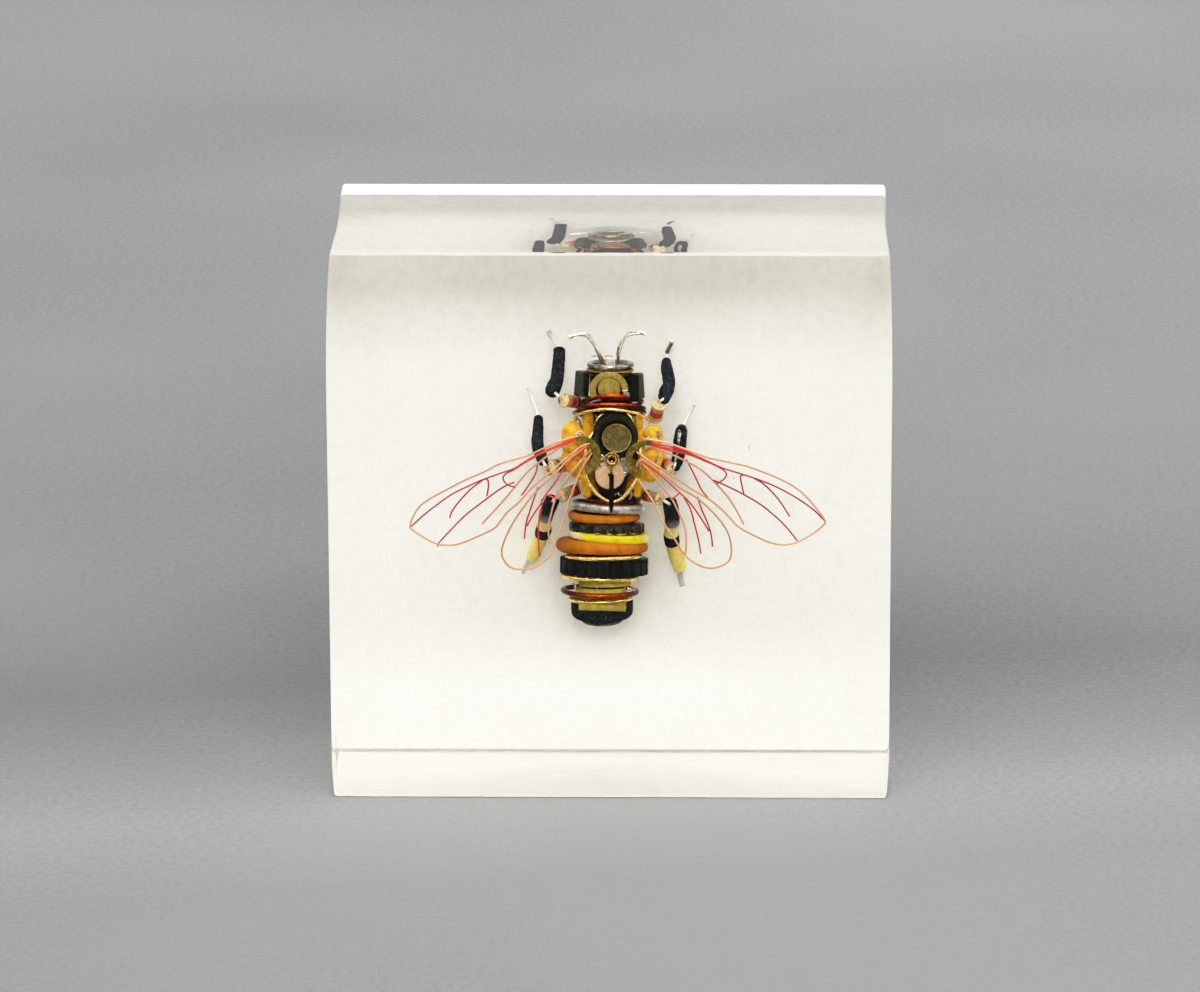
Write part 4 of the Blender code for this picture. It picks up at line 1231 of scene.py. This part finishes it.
    # painted highlight: light grey strips along the front of this sleeve stand for its shine
    for k, (path, wide) in enumerate(((((679.9, 427.8, 28.52), (679.3, 433.0, 27.27), (678.8, 439.0, 26.38), (678.6, 444.4, 25.66)), (2.8, 4.4, 3.4, 1.4)),
                                      (((677.6, 452.0, 24.66), (676.4, 456.6, 24.08), (674.6, 461.8, 23.52)), (1.4, 3.4, 2.0)))):
        shape = widths(wide)
        tube("leg_sleeve_middle_right_gleam_%d" % (k + 1), M["gleam"], px_path(path, 26, 8), lambda t: (0.9 * m, shape(t)),
             sides=12, ref=Vector((0, 1, 0)), angle=60)
    wire("leg_tip_middle_right", [(682.0, 430, 29.0), (683.8, 424.4, 29.9), (688.8, 414.4, 30.7)], 0.9, 1.0)
    blob("leg_tip_middle_right_bead", M["lead_bright"], at(689.2, 413.8, 30.8), (0.16, 0.13, 0.19), seed=11, lumps=0.05, subdiv=3)
    foot("leg_foot_middle_right", [(689.4, 413.6, 30.9), (691.8, 409.2, 31.3), (694.6, 404.6, 31.6)], 0.8, 1.3, 0.5)
    # hind legs: black, pale, black, yellow sleeving
    for side, cap, direction, lead, line, wide, cuts, feet in (
        ("left", (560.4, 496.2, 23.7), (0.66, 0.73, 0.17),
         [(559.4, 496.0, 23.5), (556.4, 498.0, 23.0), (553.6, 500.0, 23.0), (551.6, 503.0, 23.6)],
         [(552.6, 499.6, 23.6), (549.8, 505.6, 24.3), (546.6, 513.4, 25.4), (544.9, 521.4, 26.5), (543.4, 530.4, 27.6), (540.6, 539.0, 28.7), (536.0, 549.4, 29.8), (532.0, 558.2, 30.6)],
         (14.4, 14.6, 14.2, 13.8, 15.6, 13.6, 13.4, 12.6), (0.0, 0.375, 0.515, 0.655, 1.0),
         [(529.4, 559.0, 30.9), (525.6, 566.0, 31.2), (523.0, 573.2, 31.5)]),
        ("right", (661.0, 499.0, 23.5), (-0.68, 0.73, 0.04),
         [(661.8, 499.6, 23.2), (665.2, 501.6, 22.8), (668.6, 503.8, 22.9), (670.6, 506.2, 23.5)],
         [(669.8, 502.4, 23.5), (671.2, 509.4, 24.4), (672.2, 517.6, 25.5), (671.8, 527.4, 26.6), (671.4, 536.8, 27.7), (673.2, 546.4, 28.8), (676.8, 557.6, 29.8), (680.0, 568.4, 30.6)],
         (14.2, 15.2, 14.8, 14.4, 15.2, 14.2, 15.6, 13.0), (0.0, 0.375, 0.53, 0.665, 1.0),
         [(680.0, 573.0, 30.9), (681.2, 579.0, 31.2), (682.6, 586.2, 31.5)])):
        resistor("leg_resistor_hind_" + side, *cap, direction, 7.0, [(0.10, BROWN), (0.30, 2), (0.55, GREEN), (0.25, 2), (0.75, RED), (0.3, BROWN)], length=4.6, cap=0.62)
        wire("leg_lead_hind_" + side, lead, 1.5, 1.8)
        p = px_path(line, 27, 16)
        w = widths(wide)
        top = M["sleeve_dust_" + side]
        for k, (a, b, mat, slot, grow) in enumerate(zip(cuts[:-1], cuts[1:], (top, M["pale_sleeve"], M["sleeve"], M["yellow_sleeve"]),
                                                        ("black_sleeve", "yellow_sleeve", "black_sleeve", "yellow_sleeve"), (1.02, 0.97, 1.03, 0.98))):
            q = part_of(p, a, b)
            tube("leg_sleeve_hind_%s_%d" % (side, k + 1), mat, q, lambda t, a=a, b=b, g=grow: w(a + (b - a) * t) * g, sides=44, ends="hollow", hollow=0.4, angle=60,
                 fuzz=0.03 if k in (0, 2) else 0.012, fuzz_scale=1900)
        foot("leg_foot_hind_" + side, feet, 2.3 if side == "left" else 2.5, 1.9 if side == "left" else 2.7)


def make_wings():
    m = mpp(20)

    def depth(x, y, side):
        root = 588.0 if side == "left" else 639.0
        far = abs(x - root)
        return 19.45 + 2.3 * (far / 185.0) + 0.10 * math.sin(far * 0.05)

    def wire(name, kind, side, pts, nudge=0.0):
        r = {"copper": 0.98, "red": 0.84}[kind] * m
        path = smooth_path([at(x, y, depth(x, y, side) + nudge) for x, y in pts], 5)
        slot, mat = ("copper_wire", M["copper_wire"]) if kind == "copper" else ("red_enamel_wire", M["red_wire_thin"])
        return tube(name, mat, path, r, sides=10, angle=180)

    W = {
        "left": [
            ("forewing_outline", "copper", 0, [(577.5, 436.2), (560.7, 440.9), (543.9, 448.3), (525.5, 456.4), (501, 463.4), (484.2, 471.8), (465.8, 479.8), (445.9, 490.1), (423, 503.4), (413.8, 515.2), (410.2, 525.6),
                                               (412.0, 529.4), (424.5, 537.9), (437.5, 544.1), (450.5, 545.2), (461.2, 543.2), (476.5, 537.1), (493.4, 529), (499.5, 522.6), (507.1, 512.6), (519.4, 501.9), (530.1, 489.6),
                                               (545.4, 476.6), (560.7, 462.9), (573, 452.9), (580.6, 446.8), (589.5, 443.4)]),
            ("forewing_vein_1", "red", 0.28, [(576.5, 438.6), (553.1, 447.6), (537.8, 454.4), (525.5, 461.3), (514.8, 468.2), (499.5, 473.6), (482.7, 479.7), (468.9, 485.8), (452, 494.2), (436.7, 505), (423, 515.7), (411.3, 526.4)]),
            ("forewing_vein_2", "red", 0.12, [(483.5, 479.5), (486.4, 479.2), (488.2, 481.2), (488.4, 486), (487.8, 491), (486.8, 496)]),
            ("forewing_vein_3", "red", 0.50, [(483.6, 479.4), (477.6, 483.8), (468.9, 490.8), (458.2, 502.7), (452, 511.4), (449.8, 517.8)]),
            ("forewing_vein_4", "red", -0.14, [(576.5, 439.3), (553.1, 448.6), (534.7, 456.9), (519.4, 466.2), (512.4, 470.6), (507.1, 473), (503.2, 477), (504.3, 481.6), (508.9, 485.4), (514.6, 487.0)]),
            ("forewing_vein_5", "red", 0.06, [(514.2, 482.3), (506.6, 485.4), (498, 490.4), (485.7, 499.6), (465.8, 514.9), (452, 528.7), (439.8, 541.9), (437.3, 546.2)]),
            ("forewing_vein_6", "copper", 0.34, [(568.6, 442.8), (553.1, 451.8), (537.8, 463.4), (527, 472.6), (516.3, 485.1), (505.6, 498.1), (491.8, 513.4), (482.5, 523.5)]),
            ("forewing_vein_7", "red", 0.56, [(537.6, 464.8), (535.5, 473.6), (529.3, 484.3), (521.7, 495.2)]),
            ("forewing_vein_8", "red", 0.42, [(576.5, 437.9), (560.0, 444.0), (544.0, 451.2), (528.0, 459.7), (514.8, 468.2), (508.0, 470.7)]),
            ("hindwing_outline", "copper", 0.50, [(590.5, 444.8), (582.1, 449.3), (568.4, 459.8), (553.1, 475.6), (537.8, 489.8), (527, 502.4), (513.3, 522.6), (505.6, 537.9), (501.6, 551.4), (504.4, 561.1), (512.2, 568), (524.5, 569.4),
                                                  (535.2, 567.4), (544.4, 561.1), (552, 552.7), (555.9, 541.2), (561.2, 527.5), (565.8, 513.7), (569.6, 499.9), (573.5, 488.2), (577.6, 477.2), (585.2, 462.9), (593.4, 450.8)]),
            ("hindwing_vein_1", "copper", 0.72, [(592.6, 447.6), (582.1, 459.4), (569.9, 474.7), (560.7, 487.4), (554.6, 501.1), (550.8, 514.9), (548.3, 527.6), (549.6, 543.6)]),
            ("hindwing_vein_2", "red", 0.30, [(589.5, 444.6), (576, 456.7), (562.3, 472), (555.4, 482.4), (545.6, 494.8), (540.6, 504.2), (533.2, 514.9), (527, 525.8)]),
            ("hindwing_vein_3", "red", 0.20, [(545.8, 494.4), (550.8, 496.4), (556.4, 499.0)]),
            ("hindwing_vein_4", "red", 0.44, [(541.8, 499.6), (541.6, 508.8), (538.7, 524.1), (538.5, 542.5), (539.7, 556.4)]),
            ("hindwing_vein_5", "red", 0.66, [(537.8, 487.6), (534.7, 496.5), (530.1, 510.3), (526.3, 522.6), (524.2, 538.6)]),
        ],
        "right": [
            ("forewing_outline", "copper", 0, [(646.8, 438.8), (661.7, 441.5), (677.7, 446.3), (692, 451.9), (708, 457.7), (725.5, 461.5), (746.3, 466.2), (762.2, 471.8), (779.7, 479), (795.7, 487.8), (806.8, 497.3), (816.4, 508.5),
                                               (823.8, 518.4), (824.6, 524), (813.2, 533.4), (798.1, 541.8), (784.5, 544.8), (770.2, 542.6), (754.2, 535.6), (738.3, 526.8), (730.3, 518.4), (722.3, 510.1), (709.6, 499.7), (693.6, 490.2),
                                               (679.3, 480.6), (666.5, 472.2), (650.6, 461.7), (637.0, 452.2)]),
            ("forewing_vein_1", "red", 0.28, [(650.4, 443.6), (669.7, 446.5), (685.7, 451.3), (701.6, 458.3), (716, 465.2), (725.5, 469.1), (741.5, 474.0), (759, 479.8), (776.5, 487), (795.7, 497.3), (813.2, 509.5), (824.6, 520.6)]),
            ("forewing_vein_2", "red", 0.12, [(745.0, 475.2), (741.6, 475.2), (740.4, 477.2), (741.5, 484), (743.9, 494.3)]),
            ("forewing_vein_3", "red", 0.50, [(754.2, 478.4), (760.4, 481.8), (767, 487), (778.1, 498.9), (789.5, 516.0)]),
            ("forewing_vein_4", "red", -0.14, [(650.6, 445.6), (672.9, 451.3), (688.9, 454.7), (704.8, 460.9), (717.6, 466.6), (723.9, 470.4), (726.5, 474.4), (723.9, 479.2), (716.6, 483.9)]),
            ("forewing_vein_5", "red", 0.06, [(713.8, 480.4), (725.5, 485.4), (743.1, 494.1), (760.6, 504.5), (776.5, 517.3), (786.1, 526.8), (793.0, 535.2), (798.1, 541.6)]),
            ("forewing_vein_6", "copper", 0.34, [(650.8, 446.8), (669.7, 453.7), (685.7, 461.1), (701.6, 470.2), (716, 483.6), (728.7, 498.1), (736.7, 510.9), (743.6, 524.0)]),
            ("forewing_vein_7", "red", 0.56, [(686.5, 459.6), (693.6, 473.4), (700, 487), (703.6, 492.6), (707.9, 497.8)]),
            ("forewing_vein_8", "red", 0.42, [(650.4, 444.6), (669.9, 448.8), (686.0, 452.6), (703.0, 459.2), (716.0, 465.2), (722.6, 468.0)]),
            ("hindwing_outline", "copper", 0.50, [(637.0, 466.0), (637.8, 462.0), (641.0, 459.6), (644.8, 461.0), (658.6, 470.8), (669.7, 479), (679.3, 487.6), (695.2, 496.9), (708, 507.5), (720.7, 521.2), (728.7, 534.8), (731.3, 547.6),
                                                  (730.7, 557.4), (725.8, 563.6), (714.3, 568), (702, 566.5), (689.8, 559.6), (682.2, 551.9), (676, 541.2), (665.3, 525.9), (657.7, 510.6), (650, 496.8), (640.6, 483.4), (638.4, 479.0)]),
            ("hindwing_vein_1", "copper", 0.72, [(641, 462.1), (653.8, 475.8), (661.7, 486.8), (671.3, 498.1), (679.3, 513.7), (685.2, 528.4), (686.3, 544.4), (685.1, 555.7)]),
            ("hindwing_vein_2", "red", 0.30, [(641.6, 461.2), (653.8, 469.8), (663.3, 477.6), (680.1, 493.1), (688.9, 501.5), (698.4, 514.3), (709.0, 531.0)]),
            ("hindwing_vein_3", "red", 0.20, [(679.6, 492.8), (676.2, 495.8), (672.2, 499.1)]),
            ("hindwing_vein_4", "red", 0.44, [(683.8, 496.9), (690.4, 509.1), (694.4, 523.6), (698.4, 539.6), (700.8, 553.4)]),
            ("hindwing_vein_5", "red", 0.66, [(697.6, 497.1), (701.6, 509.3), (707.2, 522), (711.2, 534.8), (712.5, 546.2)]),
        ],
    }
    for side, wires in W.items():
        for name, kind, nudge, pts in wires:
            wire("%s_%s" % (name, side), kind, side, pts, nudge)
    tube("wing_tie_left", M["copper_wire"], px_path([(577.4, 432.2), (580.6, 431.2), (584.4, 434.6)], 20.2), 0.9 * m, sides=8)
    tube("wing_tie_left_2", M["lead_bright"], px_path([(575.6, 434.8), (578.6, 433.2), (581.4, 435.8)], 20.4), 1.1 * m, sides=8)
    tube("wing_tie_right", M["copper_wire"], px_path([(642.6, 438.0), (646.4, 439.6), (648.8, 436.6)], 20.2), 0.9 * m, sides=8)


def make_specks():
    for k, (x, y, d, s, kind) in enumerate(((367, 324, 14, 0.10, "speck"), (438, 390, 22, 0.08, "speck"), (749.2, 447, 18, 0.16, "speck_amber"), (795, 682, 12, 0.10, "speck"),
                                            (634, 726, 20, 0.08, "speck"), (371, 642, 25, 0.10, "speck"), (391, 683, 26, 0.09, "speck"), (702, 512, 28, 0.06, "speck"), (556, 628, 28, 0.05, "speck"), (734, 478, 24, 0.20, "fibre"))):
        blob("inclusion_%d" % (k + 1), M[kind], at(x, y, d), (s * 0.6, s * 0.5, s * (1.9 if kind == "speck_amber" else 0.7)), seed=60 + k, lumps=0.2, subdiv=2)


# ------------------------------------------------------------------ the stage
def make_stage():
    bm = bmesh.new()
    bmesh.ops.create_grid(bm, x_segments=40, y_segments=60, size=1.0)
    for v in bm.verts:
        x, y = v.co.x * 3.0, v.co.y * 3.0 + 0.9
        bend = 1.1
        z = 0.0
        if y > bend:
            t = y - bend
            z = 0.06 * t * t / (0.6 + t)
        v.co = Vector((x, y, z - 0.00004))
    floor = mesh_object("stage_floor", bm)
    floor.data.materials.append(floor_paper())
    floor.data.shade_smooth()


def soft_box(name, azimuth, elevation, distance, width, height, radiance, colour=(1, 1, 1), aim=(0, 0, 0.03)):
    """A large soft light: azimuth 0 is in front of the window, positive to the viewer's right."""
    az, el = math.radians(azimuth), math.radians(elevation)
    d = Vector((math.sin(az) * math.cos(el), -math.cos(az) * math.cos(el), math.sin(el)))
    data = bpy.data.lights.new(name, "AREA")
    data.shape = "RECTANGLE"
    data.size, data.size_y = width, height
    data.energy = radiance * math.pi * width * height
    data.color = colour
    ob = bpy.data.objects.new(name, data)
    bpy.context.scene.collection.objects.link(ob)
    ob.location = Vector(aim) + d * distance
    ob.rotation_euler = (-d).to_track_quat("-Z", "Y").to_euler()
    return ob


def make_light():
    world = bpy.data.worlds.new("studio")
    bpy.context.scene.world = world
    world.use_nodes = True
    nt = world.node_tree
    bg = nt.nodes["Background"]
    tc = nt.nodes.new("ShaderNodeTexCoord")
    sep = nt.nodes.new("ShaderNodeSeparateXYZ")
    nt.links.new(tc.outputs["Generated"], sep.inputs["Vector"])
    r = nt.nodes.new("ShaderNodeValToRGB")
    el = r.color_ramp.elements
    el[0].position, el[0].color = 0.50, (0.13, 0.13, 0.13, 1)
    el[1].position, el[1].color = 1.00, (2.3, 2.3, 2.3, 1)
    for p, c in ((0.65, 0.24), (0.85, 0.72)):
        e = el.new(p)
        e.color = (c, c, c, 1)
    up = nt.nodes.new("ShaderNodeMath"); up.operation = "MULTIPLY_ADD"
    nt.links.new(sep.outputs["Z"], up.inputs[0])
    up.inputs[1].default_value = 0.5
    up.inputs[2].default_value = 0.5
    nt.links.new(up.outputs["Value"], r.inputs["Fac"])
    # the backdrop glows a little behind the block, which shows in the top face
    back = nt.nodes.new("ShaderNodeMapRange")
    back.inputs["From Min"].default_value, back.inputs["From Max"].default_value = 0.45, 0.90
    back.inputs["To Min"].default_value, back.inputs["To Max"].default_value = 0.0, 0.31
    nt.links.new(sep.outputs["Y"], back.inputs["Value"])
    both = nt.nodes.new("ShaderNodeMix")
    both.data_type, both.blend_type = "RGBA", "ADD"
    both.inputs["Factor"].default_value = 1.0
    nt.links.new(r.outputs["Color"], both.inputs["A"])
    nt.links.new(back.outputs["Result"], both.inputs["B"])
    nt.links.new(both.outputs["Result"], bg.inputs["Color"])
    bg.inputs["Strength"].default_value = 1.0
    soft_box("key_front", 0, 42, 1.5, 1.3, 0.8, 9.2)
    soft_box("side_left", -75, 40, 1.3, 0.9, 0.9, 2.5)
    soft_box("side_right", 75, 40, 1.3, 0.9, 0.9, 3.15)


# how the photograph's tones follow from scene light: a soft toe and a soft shoulder
TONE_TOP = 1.35
TONES = ((0.0, 0.0), (0.02, 0.006), (0.05, 0.030), (0.10, 0.078), (0.20, 0.188), (0.40, 0.402), (0.60, 0.605), (0.77, 0.755),
         (0.90, 0.845), (1.0, 0.895), (1.15, 0.952), (1.35, 1.0))


def scene_settings():
    sc = bpy.context.scene
    vs = sc.view_settings
    vs.view_transform = "Standard"
    vs.look = "None"
    vs.use_curve_mapping = True
    cm = vs.curve_mapping
    cm.white_level = (TONE_TOP, TONE_TOP, TONE_TOP)
    curve = cm.curves[3]
    while len(curve.points) < len(TONES):
        curve.points.new(0.5, 0.5)
    for pt, (a, b) in zip(curve.points, TONES):
        pt.location = (a / TONE_TOP, b)
        pt.handle_type = "AUTO"
    cm.update()
    sc.cycles.max_bounces = 24
    sc.cycles.diffuse_bounces = 5
    sc.cycles.glossy_bounces = 8
    sc.cycles.transmission_bounces = 24
    sc.cycles.transparent_max_bounces = 16
    sc.cycles.caustics_reflective = True
    sc.cycles.caustics_refractive = True
    sc.cycles.blur_glossy = 0.0
    sc.cycles.sample_clamp_indirect = 10.0
    sc.cycles.use_denoising = True


make_camera()
scene_settings()
make_stage()
make_light()
make_block()
make_materials()
make_head()
make_thorax()
make_abdomen()
make_legs()
make_wings()
make_specks()
